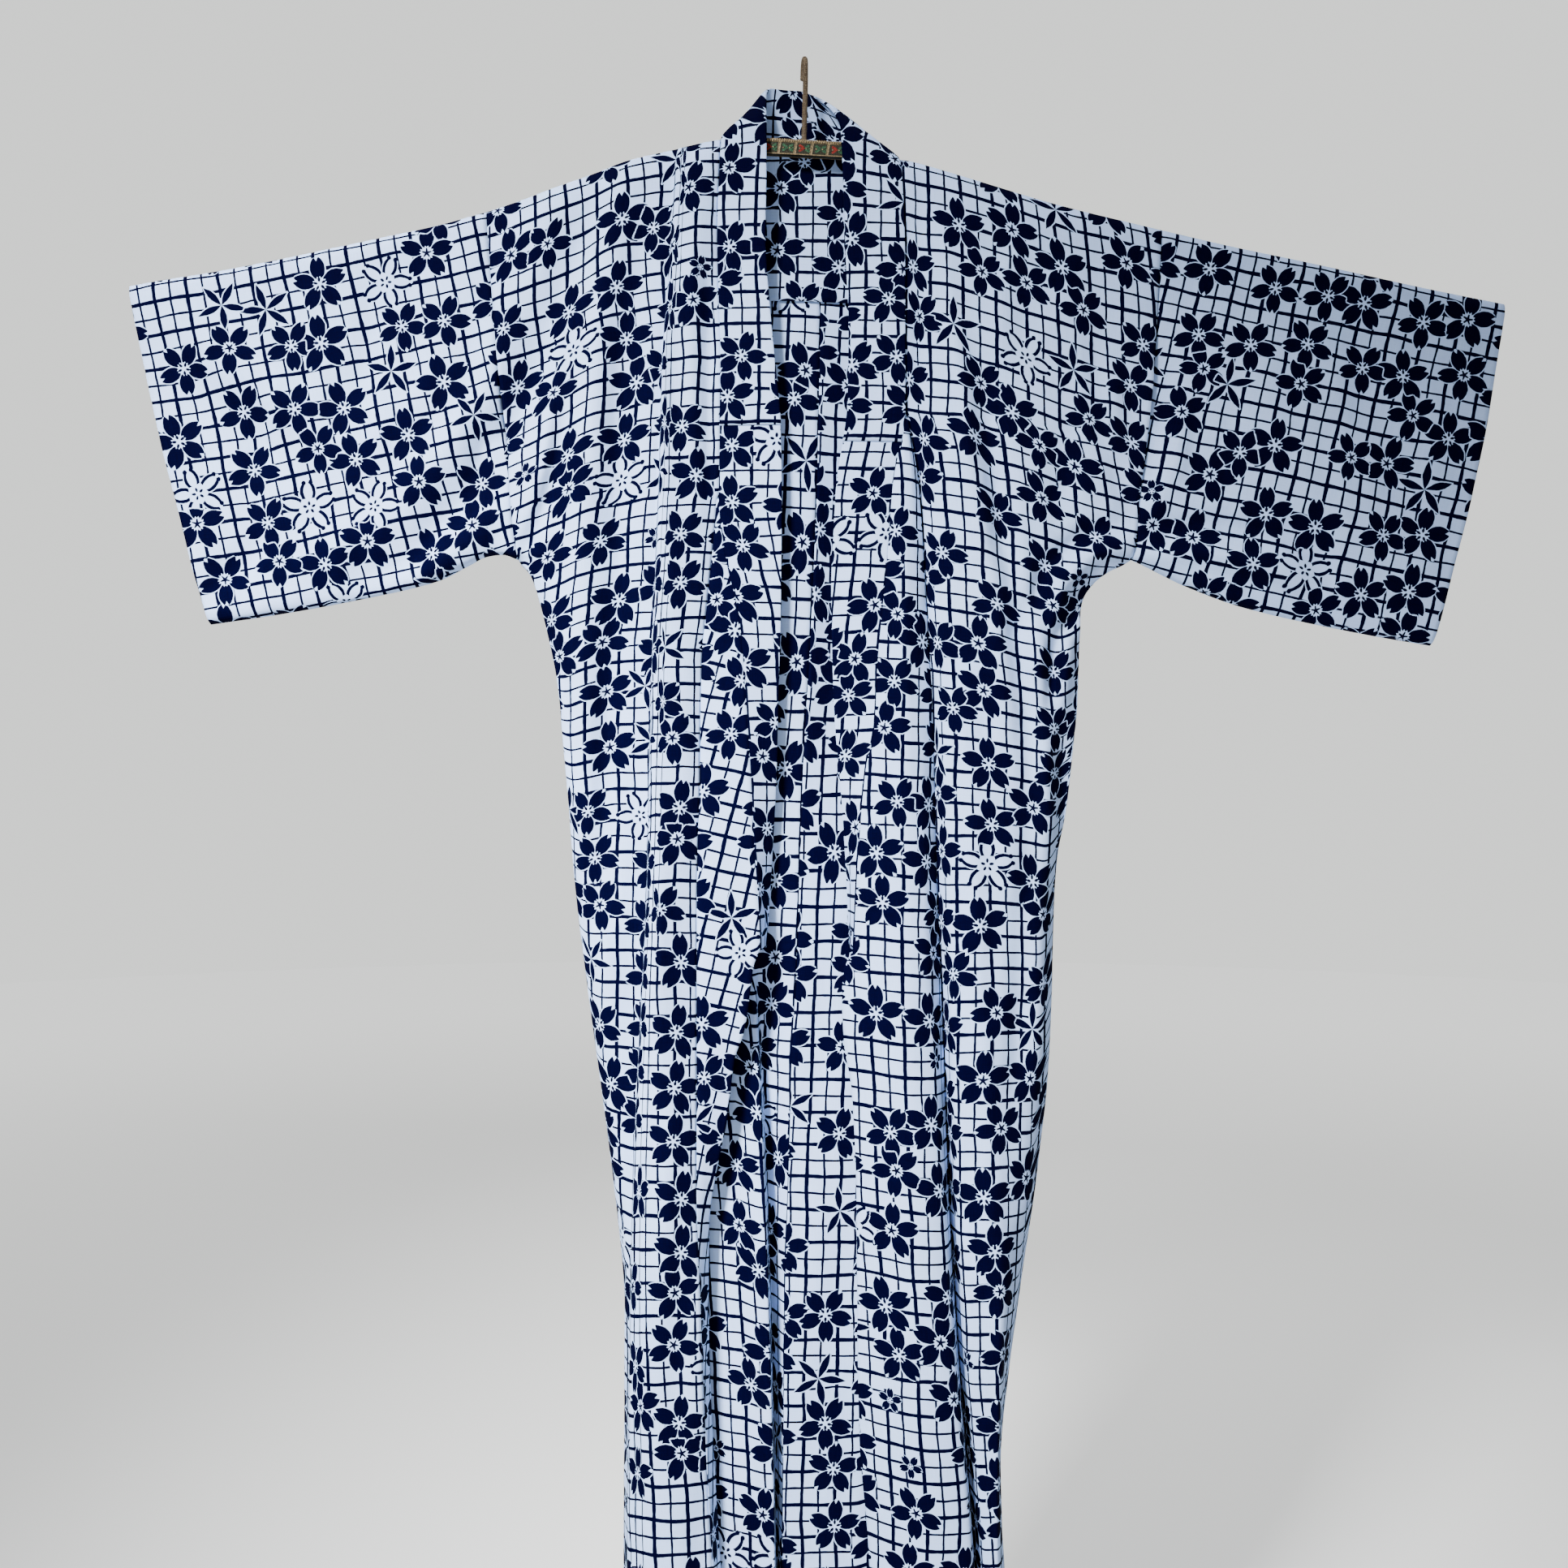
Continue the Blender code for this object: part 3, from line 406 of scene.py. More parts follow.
def side_line(line, facing):
    """The armhole's edge above the underarm, and the side fold below it."""
    points = fold_line(line)
    points[:len(SHARES), 1] = facing * ARMHOLE_HALF * armhole_round(SHARES)
    return points


def inner_line(collar_seam, overlap_seam, kensaki, shift):
    """A front's inner edge: the collar's seam down to the overlap's point, then its seam."""
    top = collar_seam[0][0]
    above, below = fold_line(collar_seam), fold_line(overlap_seam, top)
    first = np.searchsorted(SHARES, kensaki)
    return np.vstack([above[:first], below[first:]]) + [shift, 0, 0]


# ---- print coordinates
def along_rows(points):
    """Length from the first column along each row."""
    steps = np.linalg.norm(np.diff(points, axis=1), axis=2)
    return np.hstack([np.zeros((len(points), 1)), np.cumsum(steps, axis=1)])


def down_columns(points):
    return along_rows(points.transpose(1, 0, 2)).T


def level(points, from_drop, to_drop):
    """Length down the cloth from the shoulder, with a weft that hangs level low down."""
    tops = points[0, :, 2]
    share = np.clip((points[:, :, 2] - from_drop) / (to_drop - from_drop), 0, 1)
    share = share * share * (3 - 2 * share)
    return down_columns(points) + (tops - tops[0]) * share


def turned(across, down, degrees):
    a = math.radians(degrees)
    return across * math.cos(a) - down * math.sin(a), across * math.sin(a) + down * math.cos(a)


# ---- relief
def press(points, facing, creases):
    """Soft ridges and troughs along lines on the cloth."""
    place = points[:, :, [0, 2]]
    for half_width, height, line in creases:
        knots = np.array(line, float).reshape(-1, 2)
        starts = run_along(knots)
        nearest, along = np.full(place.shape[:2], np.inf), np.zeros(place.shape[:2])
        for start, run, *ends in zip(knots, np.diff(knots, axis=0), starts, starts[1:]):
            share = np.clip((place - start) @ run / (run @ run), 0, 1)
            away = np.linalg.norm(place - start - share[..., None] * run, axis=2)
            along = np.where(away < nearest, ends[0] + share * (ends[1] - ends[0]), along)
            nearest = np.minimum(nearest, away)
        share = CREASE_END + (1 - 2 * CREASE_END) * along / starts[-1]
        taper = np.sin(np.pi * share) ** CREASE_TAPER
        points[:, :, 1] += facing * height * taper * np.exp(-(nearest / half_width) ** 2)


def ripple(points, facing, size, seed):
    """Faint unevenness of hanging cotton, mostly in lines that fall down the cloth."""
    rng = np.random.default_rng(seed)
    x, drop = points[:, :, 0], points[:, :, 2]
    total = np.zeros(x.shape)
    for _ in range(RIPPLES):
        wave = rng.uniform(*RIPPLE_WAVE)
        lean = rng.normal(0, RIPPLE_LEAN)
        phase = rng.uniform(0, FULL_TURN)
        run = x * math.cos(lean) + drop * math.sin(lean) * RIPPLE_DROP
        total += np.sin(run * FULL_TURN / wave + phase) * wave
    points[:, :, 1] += facing * size * total / RIPPLE_SCALE


def sunk_edge(points, facing, width=4, depth=1.5):
    """The cloth dips into a seam along its first column."""
    points[:, :, 1] -= facing * depth * np.exp(-(along_rows(points) / width) ** 2)


# ---- objects
def added(name, data):
    made = bpy.data.objects.new(name, data)
    bpy.context.scene.collection.objects.link(made)
    return made


def piece(name, data, paint, nodes=()):
    """An object that rides on the part's body and stands for the given nodes."""
    made = added(name, data)
    data.materials.append(paint)
    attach(made, "root")
    if nodes:
        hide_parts(*nodes)
    return made


def sheet(name, grids, nodes, thick=CLOTH):
    """Cloth from grids of points with their print coordinates, welded where they meet."""
    vertices, faces, print_at = [], [], []
    for points, across, down in grids:
        rows, columns = points.shape[:2]
        first = sum(len(v) for v in vertices)
        vertices.append(points.reshape(-1, 3))
        corner = first + (np.arange(rows - 1)[:, None] * columns + np.arange(columns - 1)).ravel()
        faces.append(np.column_stack([corner, corner + 1, corner + columns + 1, corner + columns]))
        print_at.append(np.column_stack([across.ravel(), down.ravel()]))
    vertices, faces, print_at = (np.concatenate(part) for part in (vertices, faces, print_at))
    mesh = bpy.data.meshes.new(name)
    mesh.from_pydata((vertices * [MM, MM, -MM]).tolist(), [], faces.tolist())
    layer = mesh.uv_layers.new(name="print")
    layer.data.foreach_set("uv", (print_at[faces.ravel()] * MM).ravel())
    work = bmesh.new()
    work.from_mesh(mesh)
    bmesh.ops.remove_doubles(work, verts=work.verts, dist=WELD * MM)
    bmesh.ops.recalc_face_normals(work, faces=work.faces)
    work.to_mesh(mesh)
    work.free()
    mesh.shade_smooth()
    made = piece(name, mesh, COTTON, nodes)
    if thick:
        thicken = made.modifiers.new("cloth", "SOLIDIFY")
        thicken.thickness = thick * MM
        thicken.offset = 0


# ---- body panels
def soften_side(front, back):
    """Rounds the side fold, where the front turns into the back below the armhole."""
    rows = slice(len(SHARES), None)
    in_front, behind = slice(-SIDE_REACH - 1, -1), slice(0, SIDE_REACH + 1)
    ribbon = np.concatenate([front[rows, in_front], back[rows, behind]], axis=1)
    ease = np.clip(np.arange(len(ribbon)) / SIDE_REACH, 0, 1)[:, None, None]
    for _ in range(SIDE_PASSES):
        middle = (ribbon[:, :-2] + ribbon[:, 2:]) / 2
        ribbon[:, 1:-1] += (middle - ribbon[:, 1:-1]) * 0.5 * ease
    front[rows, in_front], back[rows, behind] = ribbon[:, :SIDE_REACH], ribbon[:, SIDE_REACH:]
    front[rows, -1] = back[rows, 0]


def body(name, toward_side, shoulder, front, side, back, neck, inner, creases, pleat, weft,
         offset):
    """One half of the body: the front and the back in one length over the shoulder.

    pleat: its first and last column, and the cloth hidden in it; weft: the drops between which
    the print turns level; offset: where in the printed cloth the panel was cut.
    """
    def top_of(line):
        return float(read(shoulder, line[0][1])[0, 0])

    front_lines = [inner] + [fold_line(line, top_of(line)) for line in front.values()]
    front_lines.append(side_line(side, -1))
    back_lines = [side_line(side, 1)] + [fold_line(line, top_of(line)) for line in back.values()]
    back_lines[-1][0] = inner[0]
    neck_lines = [back_lines[-1]]
    neck_lines += [fold_line(line, rolls=False) for line in (*neck.values(), BACK_SEAM)]
    neck_lines[-1] += [toward_side * SEAM_GAP / 2, 0, 0]
    front_points = loft(front_lines)
    back_points = loft(back_lines, front_points.shape[1])
    back_points = np.concatenate([back_points, loft(neck_lines)[:, 1:]], axis=1)
    soften_side(front_points, back_points)
    columns = front_points.shape[1]
    back_points[0, :columns] = front_points[0, ::-1]

    pleated = np.interp(np.arange(columns), pleat[:2], [0, pleat[2]])
    across_front = along_rows(front_points) + pleated
    from_middle = along_rows(back_points[:, ::-1])[:, ::-1]
    across_back = from_middle - from_middle[0, columns - 1]
    down_front, down_back = level(front_points, *weft), level(back_points, *weft)
    press(front_points, -1, creases[0])
    press(back_points, 1, creases[1])
    ripple(front_points[ROWS_ABOVE // 4:], -1, FRONT_RIPPLE, len(name))
    ripple(back_points[ROWS_ABOVE // 4:], 1, BACK_RIPPLE, len(name) + 1)
    sunk_edge(front_points, -1)
    weld_edges(front_points, back_points)
    u, v = offset
    grids = [(front_points, u + across_front, v - down_front),
             (back_points, u + across_back, v + down_back)]
    sheet(name + "_cloth", grids, [name])


def weld_edges(front, back):
    """Brings the shoulder fold and the side fold of a front and its back together again."""
    columns = front.shape[1]
    back[0, :columns] = front[0, ::-1]
    low = slice(len(SHARES) - 1, None)
    middle = (front[low, -1] + back[low, 0]) / 2
    front[low, -1], back[low, 0] = middle, middle


def overlap(name, toward_side, seam, folds, collar_seam, free_edge, kensaki, turn, offset):
    """The overlap panel, from its point under the collar to the hem."""
    top = collar_seam[0][0]
    first = np.searchsorted(SHARES, kensaki)
    gap = [toward_side * SEAM_GAP / 2, 0, 0]
    edge = np.where(rows_from(top)[:, None] <= COLLAR_END, fold_line(collar_seam) + gap,
                    fold_line(free_edge, top))
    lines = [fold_line(seam, top) - gap] + [fold_line(line, top) for line in folds] + [edge]
    points = loft([line[first:] for line in lines])
    across, down = along_rows(points) * -toward_side, points[:, :, 2].copy()
    across, down = turned(across, down, turn)
    ripple(points, -1, OVERLAP_RIPPLE, len(name))
    sunk_edge(points, -1)
    sheet(name + "_cloth", [(points, offset[0] + across, offset[1] - down)], [name])


# ---- collar
def collar_path():
    """(sewn edge, free edge) along the collar, from its right lower end round the neck."""
    def front(seam, free, shift):
        top = seam[0][0]
        drops = np.arange(top + COLLAR_START * (UNDERARM - top), COLLAR_END + 1, SPACING)
        drops = np.append(drops[drops < COLLAR_END - 2], COLLAR_END)
        sewn = np.column_stack([read(seam, drops), drops]) + [shift, 0, 0]
        return np.hstack([sewn, np.column_stack([read(free, drops), drops])])

    right = front(RIGHT_COLLAR_SEAM, RIGHT_COLLAR_FREE, SEAM_GAP / 2)
    left = front(LEFT_COLLAR_SEAM, LEFT_COLLAR_FREE, -SEAM_GAP / 2)
    knots = np.vstack([right[1], right[0], NECK_STATIONS,
                       left[0], left[1]])
    place = run_along(knots)
    at = np.linspace(place[1], place[-2], NECK_STEPS)
    neck = curve(place, knots, at)
    return np.vstack([right[::-1], neck[1:-1], left])


def band(path, half, grow=0.0):
    """A flat closed band round a path of edges, with round edges: points, across, along."""
    sewn, free = path[:, None, :3], path[:, None, 3:]
    width = np.linalg.norm(free - sewn, axis=2)
    turn = np.linspace(0, 2 * np.pi, BAND_POINTS)
    share = 0.5 - 0.5 * np.sign(np.cos(turn)) * np.abs(np.cos(turn)) ** BAND_ROUND
    lift = half * np.sign(np.sin(turn)) * np.abs(np.sin(turn)) ** BAND_LIFT
    share = share[None, :, None] * (1 + 2 * grow / width[..., None]) - grow / width[..., None]
    flat = sewn + (free - sewn) * share
    along = np.gradient(flat, axis=0)
    out = np.cross(along, free - sewn)
    out /= np.linalg.norm(out, axis=2)[..., None]
    middle_drop = (sewn + free)[:, :, 2:] / 2
    bow = NECK_BOW * np.clip((NECK_BOW_BELOW - middle_drop) / NECK_BOW_GROWTH, 0, 1)
    points = flat + out * bow * 4 * share * (1 - share) + out * lift[None, :, None]
    run = run_along((path[:, :3] + path[:, 3:]) / 2)
    return points, share[..., 0] * width, np.repeat(run[:, None], BAND_POINTS, axis=1)


def capped(points, across, down):
    """The same band with its two ends drawn in to a seam."""
    grown = [np.concatenate([grid[:1], grid, grid[-1:]]) for grid in (points, across, down)]
    grown[0][[0, -1]] = (grown[0][[0, -1]] + grown[0][[0, -1], ::-1]) / 2
    return grown


def collar():
    """The folded collar, and the over-collar sewn over its neck part."""
    path = collar_path()
    sheet("collar_cloth", [capped(*band(path, COLLAR_HALF))], ["collar"],
          thick=0)
    drops = path[:, 2]
    highest = np.argmin(drops)
    right = np.flatnonzero(drops[:highest] > OVER_COLLAR_DROP_RIGHT)[-1]
    left = highest + np.flatnonzero(drops[highest:] > OVER_COLLAR_DROP_LEFT)[0]
    points, across, down = band(path[right:left], OVER_COLLAR_HALF, OVER_COLLAR_GROW)
    across, down = across + OVER_COLLAR_PRINT[0], down + OVER_COLLAR_PRINT[1]
    sheet("over_collar_cloth", [capped(points, across, down)], ["over_collar"],
          thick=0)


# ---- sleeves
def sleeve(name, outward, side, top_edge, bottom_edge, cuff_bow, creases, offset):
    """A flat tube, open at the armhole and the cuff, whose cuff turns in to a hem."""
    length = math.dist(top_edge[0], top_edge[-1])
    turned_in = np.linspace(1, 1 - CUFF_HEM / length, CUFF_HEM_COLUMNS)
    reach = np.append(np.linspace(0, 1, SLEEVE_COLUMNS), turned_in)
    inset = np.repeat([0, CUFF_FOLD], [SLEEVE_COLUMNS, CUFF_HEM_COLUMNS])
    top_x = np.interp(reach, [0, 1], [top_edge[0][0], top_edge[-1][0]])
    low_x = np.interp(reach, [0, 1], [bottom_edge[0][0], bottom_edge[-1][0]])
    top_drop = read(top_edge, top_x)[:, 0] + inset
    low_drop = read(bottom_edge, low_x)[:, 0] - inset
    share = SHARES[:, None]
    seam_x = side_line(side, 1)[:len(SHARES), 0]
    straight = seam_x[0] + (seam_x[-1] - seam_x[0]) * SHARES
    x = top_x + (low_x - top_x) * share + (seam_x - straight)[:, None] * (1 - reach) ** 3
    x = x + outward * (cuff_bow * reach * 4 * share * (1 - share) + SEAM_GAP)
    drop = top_drop + (low_drop - top_drop) * share
    axis = np.subtract(top_edge[-1], top_edge[0]) / length
    grids = []
    for facing, swell in ((-1, SLEEVE_FRONT_SWELL), (1, SLEEVE_BACK_SWELL)):
        half = ARMHOLE_HALF + (swell - ARMHOLE_HALF) * np.sin(np.pi * reach) - inset
        points = np.dstack([x, facing * half * armhole_round(share), drop])
        across = (x - top_edge[0][0]) * axis[0] + (drop - top_edge[0][1]) * axis[1]
        down = down_columns(points)
        press(points, facing, creases if facing < 0 else ())
        ripple(points, facing * np.sin(np.pi * share) ** 0.5, SLEEVE_RIPPLE, len(name) + facing)
        points[:, :, 1] = np.where(facing * points[:, :, 1] < 0, 0, points[:, :, 1])
        sunk_edge(points, facing, width=5, depth=1.6)
        grids.append((points, offset[0] + outward * across, offset[1] + facing * down))
    meet = (grids[0][0][[0, -1]] + grids[1][0][[0, -1]]) / 2
    for points, _, _ in grids:
        points[[0, -1]] = meet
    sheet(name + "_cloth", grids, [name])


# ---- shoulder lining
def lining():
    """A patch inside the back, from just under the neck seam to its own hem."""
    across = np.linspace(-LINING_HALF, LINING_HALF, LINING_COLUMNS)
    rows = []
    for drop in np.linspace(LINING_TOP, LINING_HEM, LINING_ROWS):
        known = np.array([read(line, drop)[0] for line in BACK_LINES])
        gap = LINING_DEPTH_GAP * min(1, (drop - LINING_TOP) / LINING_GAP_GROWTH)
        depth = curve(known[:, 0], known[:, 1:], across)[:, 0] - CLOTH - gap
        rows.append(np.column_stack([across, depth, np.full(len(across), drop)]))
    points = np.array(rows)
    points[-LINING_HEM_ROWS:, :, 1] -= LINING_HEM_PROUD
    across, down = points[:, :, 0] + LINING_PRINT[0], LINING_PRINT[1] - points[:, :, 2]
    sheet("shoulder_lining_cloth", [(points, across, down)], ["shoulder_lining"])


# ---- materials
CLOTH_WHITE = (0.48, 0.65, 1.0, 1)
CLOTH_SHADE = (0.43, 0.59, 0.95, 1)
INK_NAVY = (0.0004, 0.0002, 0.0130, 1)
INK_DARK = (0.0003, 0.0002, 0.0090, 1)


def operation(name, swapped=False):
    """A method of Wire that adds one Math node."""
    def method(self, *others):
        return self.paint.math(name, *((*others, self) if swapped else (self, *others)))
    return method


class Wire:
    """A number in a material's nodes, which takes sums as a plain number does."""

    def __init__(self, paint, socket):
        self.paint, self.socket = paint, socket

    __add__ = __radd__ = operation("ADD")
    __mul__ = __rmul__ = operation("MULTIPLY")
    __sub__, __rsub__ = operation("SUBTRACT"), operation("SUBTRACT", swapped=True)
    __truediv__ = operation("DIVIDE")
    __lt__, __gt__ = operation("LESS_THAN"), operation("GREATER_THAN")
    __abs__, __round__ = operation("ABSOLUTE"), operation("ROUND")
    sine, cosine, root = operation("SINE"), operation("COSINE"), operation("SQRT")
    arctan2, pingpong = operation("ARCTAN2"), operation("PINGPONG")
    lesser, greater = operation("MINIMUM"), operation("MAXIMUM")


class Nodes:
    """The nodes of a world or a material, with short calls that make and join them."""

    def __init__(self, owner):
        owner.use_nodes = True
        self.tree = owner.node_tree

    def feed(self, socket, value):
        value = value.socket if isinstance(value, Wire) else value
        if isinstance(value, bpy.types.NodeSocket):
            self.tree.links.new(value, socket)
        else:
            socket.default_value = value

    def node(self, kind, inputs, **settings):
        made = self.tree.nodes.new("ShaderNode" + kind)
        for key, value in settings.items():
            setattr(made, key, value)
        for key, value in inputs.items():
            self.feed(made.inputs[key], value)
        return made


class Paint(Nodes):
    """A material whose nodes are joined by sums."""

    def __init__(self, name, **settings):
        self.material = bpy.data.materials.new(name)
        super().__init__(self.material)
        self.shader = self.tree.nodes["Principled BSDF"]
        for socket, value in settings.items():
            self.coat(socket.replace("_", " "), value)

    def coat(self, socket, value):
        """Gives the surface one of its settings."""
        self.feed(self.shader.inputs[socket], value)

    def wires(self, made):
        return [Wire(self, socket) for socket in made.outputs]

    def math(self, name, *values):
        return self.wires(self.node("Math", dict(enumerate(values)), operation=name))[0]

    def vector(self, name, *values):
        return self.node("VectorMath", dict(enumerate(values)), operation=name).outputs[0]

    def scaled(self, vector, by):
        return self.node("VectorMath", {0: vector, "Scale": by}, operation="SCALE").outputs[0]

    def step(self, value, low, high):
        return self.wires(self.node("MapRange", {"Value": value, "From Min": low, "From Max": high},
                                    interpolation_type="SMOOTHSTEP"))[0]

    def chosen(self, share, first, second):
        """The first number where the share is 0, and the second where it is 1."""
        return self.wires(self.node("Mix", {0: share, 2: first, 3: second}))[0]

    def mix(self, share, first, second):
        """The same for two colours."""
        return self.node("Mix", {0: share, 6: first, 7: second}, data_type="RGBA").outputs[2]

    def noise(self, at, scale, detail=2.0):
        made = self.node("TexNoise", {"Vector": at, "Scale": scale, "Detail": detail})
        return self.wires(made)[0]

    def stray(self, at, scale, by):
        """An uneven small vector, up to about half of `by` long."""
        made = self.node("TexNoise", {"Vector": at, "Scale": scale, "Detail": 2.0})
        return self.scaled(self.vector("SUBTRACT", made.outputs["Color"], (0.5, 0.5, 0.5)), by)

    def bump(self, height, distance, strength=1.0):
        made = self.node("Bump", {"Height": height, "Distance": distance, "Strength": strength})
        self.coat("Normal", made.outputs[0])


# Lengths inside a blossom are shares of its radius.
BLOSSOM = 25.2  # mm from a blossom's centre to its petals' tips
CELL = 51.3  # mm between blossoms, on an uneven lattice
UNEVEN = 0.58
PETAL_TURN = math.pi / 5
TILT, TILT_SPREAD = -0.25, 0.5  # radians by which a blossom leans
PETAL_END = 1.02
PETAL_OUTLINE = ((0.0, 0.0), (0.16, 0.10), (0.30, 0.205), (0.45, 0.268), (0.60, 0.288),
                 (0.75, 0.268), (0.88, 0.210), (0.96, 0.155), (1.01, 0.112), (PETAL_END, 0.0),
                 (1.1, 0.0))
NOTCH_FROM, NOTCH_SLOPE = 0.875, 0.52
BURST, BURST_SPIKE = 0.205, 0.075  # the white star at the centre, and its points
CENTRE_STAR = 0.62  # of a random 0 to 1, from which the centre is a star and not five drops
SLENDER_HALF = 0.135  # half the width of a slender petal
LINE_INSET, LINE_HALF = 0.062, 0.066  # of an outlined petal's line
CURL_AT, CURL = (0.95, 0.13), 0.088  # the round end of that line
LINE_FROM = 0.34  # where that line starts
DROP_AT, DROP_HALF, DROP_FLARE, DROP_LENGTH = 0.145, 0.030, 0.14, 0.62  # at the centre
STAR_TIP, STAR_HALF, STAR_TAPER = 0.19, 0.050, 0.12
CORE = 0.26  # cloth that a blossom covers round its centre
SHRINK, SHRINK_SPREAD, SMALL_SHRINK = 0.94, 0.16, 1.3  # a blossom's radius is divided by these
PARTING, PARTING_EDGE = 0.22, 0.1  # where two blossoms meet, and how sharply
CLEAR, CLEAR_EDGE = 0.04, 0.005  # cloth left bare between a blossom and one behind it
WAVER, WAVER_SCALE = 1.1, 0.22  # mm by which an edge strays from its drawing
INK_EDGE = 0.010  # softness of a printed edge
HALO, HALO_EDGE = 0.038, 0.01  # cloth left bare round a blossom
NO_BLOSSOM, SMALL_BLOSSOM, OUTLINED, SLENDER = 0.045, 0.07, 0.115, 0.93  # of a random 0 to 1

# The grid, in mm.
GRID = 15.4
THICK_LINE, THIN_LINE = 1.80, 1.06  # half widths
SWAY, SWAY_SCALE = 7.0, 0.014  # how far lines stray, and how fast that changes
TREMBLE, TREMBLE_SCALE = 0.8, 0.12
PRESS, PRESS_SPREAD, PRESS_SCALE = 0.7, 0.6, 1.4  # how a line's width varies
LINE_EDGE = 0.18
GAP_CHANCE, GAP_EDGE, GAP_SCALE, GAP_DEPTH = 0.13, 0.005, 0.45, 2.0  # where a line is broken
LINE_SEED = 3.7  # keeps the lines' noise apart

THREAD_SCALE, THREAD_RUN = 1.1, 0.06  # how fine the threads are, and their width to length
WEAVE_BETWEEN = (0.7, 1.3)  # from the darkest to the lightest threads
WEAVE_RELIEF = (0.0004, 0.35)


def petal_width(p, along):
    """Half width of a petal at each place along it."""
    end = PETAL_OUTLINE[-1][0]
    made = p.node("FloatCurve", {"Value": along / end})
    points = made.mapping.curves[0].points
    for place, width in PETAL_OUTLINE[1:-1]:
        points.new(place / end, width)
    points[0].location, points[-1].location = (0, 0), (1, 0)
    for point in points[-3:]:
        point.handle_type = "VECTOR"
    made.mapping.update()
    return p.wires(made)[0]


def distance(x, y):
    return (x * x + y * y).root()


def blossoms(p, at, feature):
    """Ink of the nearest or next nearest blossoms, the cloth they cover, and how far off they are.

    The first two are above zero inside, and below zero outside.
    """
    place = p.scaled(at, 1 / CELL)
    found = p.node("TexVoronoi", {"Vector": place, "Scale": 1.0, "Randomness": UNEVEN},
                   voronoi_dimensions="2D", feature=feature)
    red, green, kind = p.wires(p.node("SeparateColor", {"Color": found.outputs["Color"]}))
    small = kind < SMALL_BLOSSOM
    shrink = small * SMALL_SHRINK + (red * SHRINK_SPREAD + SHRINK)
    off = p.vector("SUBTRACT", place, found.outputs["Position"])
    x, y, _ = p.wires(p.node("SeparateXYZ", {0: p.scaled(off, shrink * (CELL / BLOSSOM))}))
    radius = distance(x, y)
    tilt = green * TILT_SPREAD + (TILT - math.pi / 2)
    angle = y.arctan2(x) + (round(red) * PETAL_TURN + tilt)
    fold = angle.pingpong(PETAL_TURN)
    along, aside = radius * fold.cosine(), radius * fold.sine()

    width = petal_width(p, along)
    notch = (aside - (along - NOTCH_FROM) * NOTCH_SLOPE).greater(NOTCH_FROM - along)
    spikes = angle.pingpong(PETAL_TURN / 3) * (BURST_SPIKE * 3 / PETAL_TURN)
    petal = (width - aside).lesser(notch.lesser(radius - BURST - spikes))

    drop = along * DROP_FLARE + DROP_HALF - distance((along - DROP_AT) * DROP_LENGTH, aside)
    star = (along * -STAR_TAPER + STAR_HALF - aside).lesser(STAR_TIP - along)
    full = petal.greater(p.chosen(green > CENTRE_STAR, drop, star))

    lens = (along.lesser(1.0) * math.pi).sine()
    slender = (lens * SLENDER_HALF - aside).lesser(1.0 - along)
    line = LINE_HALF - abs(aside - (width - LINE_INSET))
    curl = CURL - distance(along - CURL_AT[0], aside - CURL_AT[1])
    outline = line.lesser(along - LINE_FROM).greater(curl).lesser(notch).greater(drop)

    is_slender, is_outline = kind > SLENDER, (kind < OUTLINED) - small
    ink = p.chosen(is_outline, p.chosen(is_slender, full, slender), outline)
    covered = p.chosen(is_slender, width - aside, slender).lesser(PETAL_END - along)
    covered = covered.greater(CORE - radius)
    absent = kind < NO_BLOSSOM
    return ink - absent, covered - absent, Wire(p, found.outputs["Distance"])


def printed_grid(p, at):
    """Hand-drawn lines both ways, thick and thin in turn: mm inside a line, negative outside."""
    strays = p.vector("ADD", p.stray(at, SWAY_SCALE, SWAY), p.stray(at, TREMBLE_SCALE, TREMBLE))
    place = p.scaled(p.vector("ADD", at, strays), 1 / GRID)
    place = p.wires(p.node("SeparateXYZ", {0: place}))
    lines = []
    for across, along in ((0, 1), (1, 0)):
        nearest = round(place[across])
        away = abs(place[across] - nearest) * GRID
        thin = nearest.pingpong(1.0)
        line = p.node("CombineXYZ", {0: nearest * LINE_SEED, 1: place[along], 2: across}).outputs[0]
        pressed = p.noise(line, PRESS_SCALE, 1.0) * PRESS_SPREAD + PRESS
        half = (thin * (THIN_LINE - THICK_LINE) + THICK_LINE) * pressed
        drawn = p.step(p.noise(line, GAP_SCALE, 0.0), GAP_CHANCE, GAP_CHANCE + GAP_EDGE)
        lines.append(drawn * GAP_DEPTH + half - (away + GAP_DEPTH))
    return lines[0].greater(lines[1])


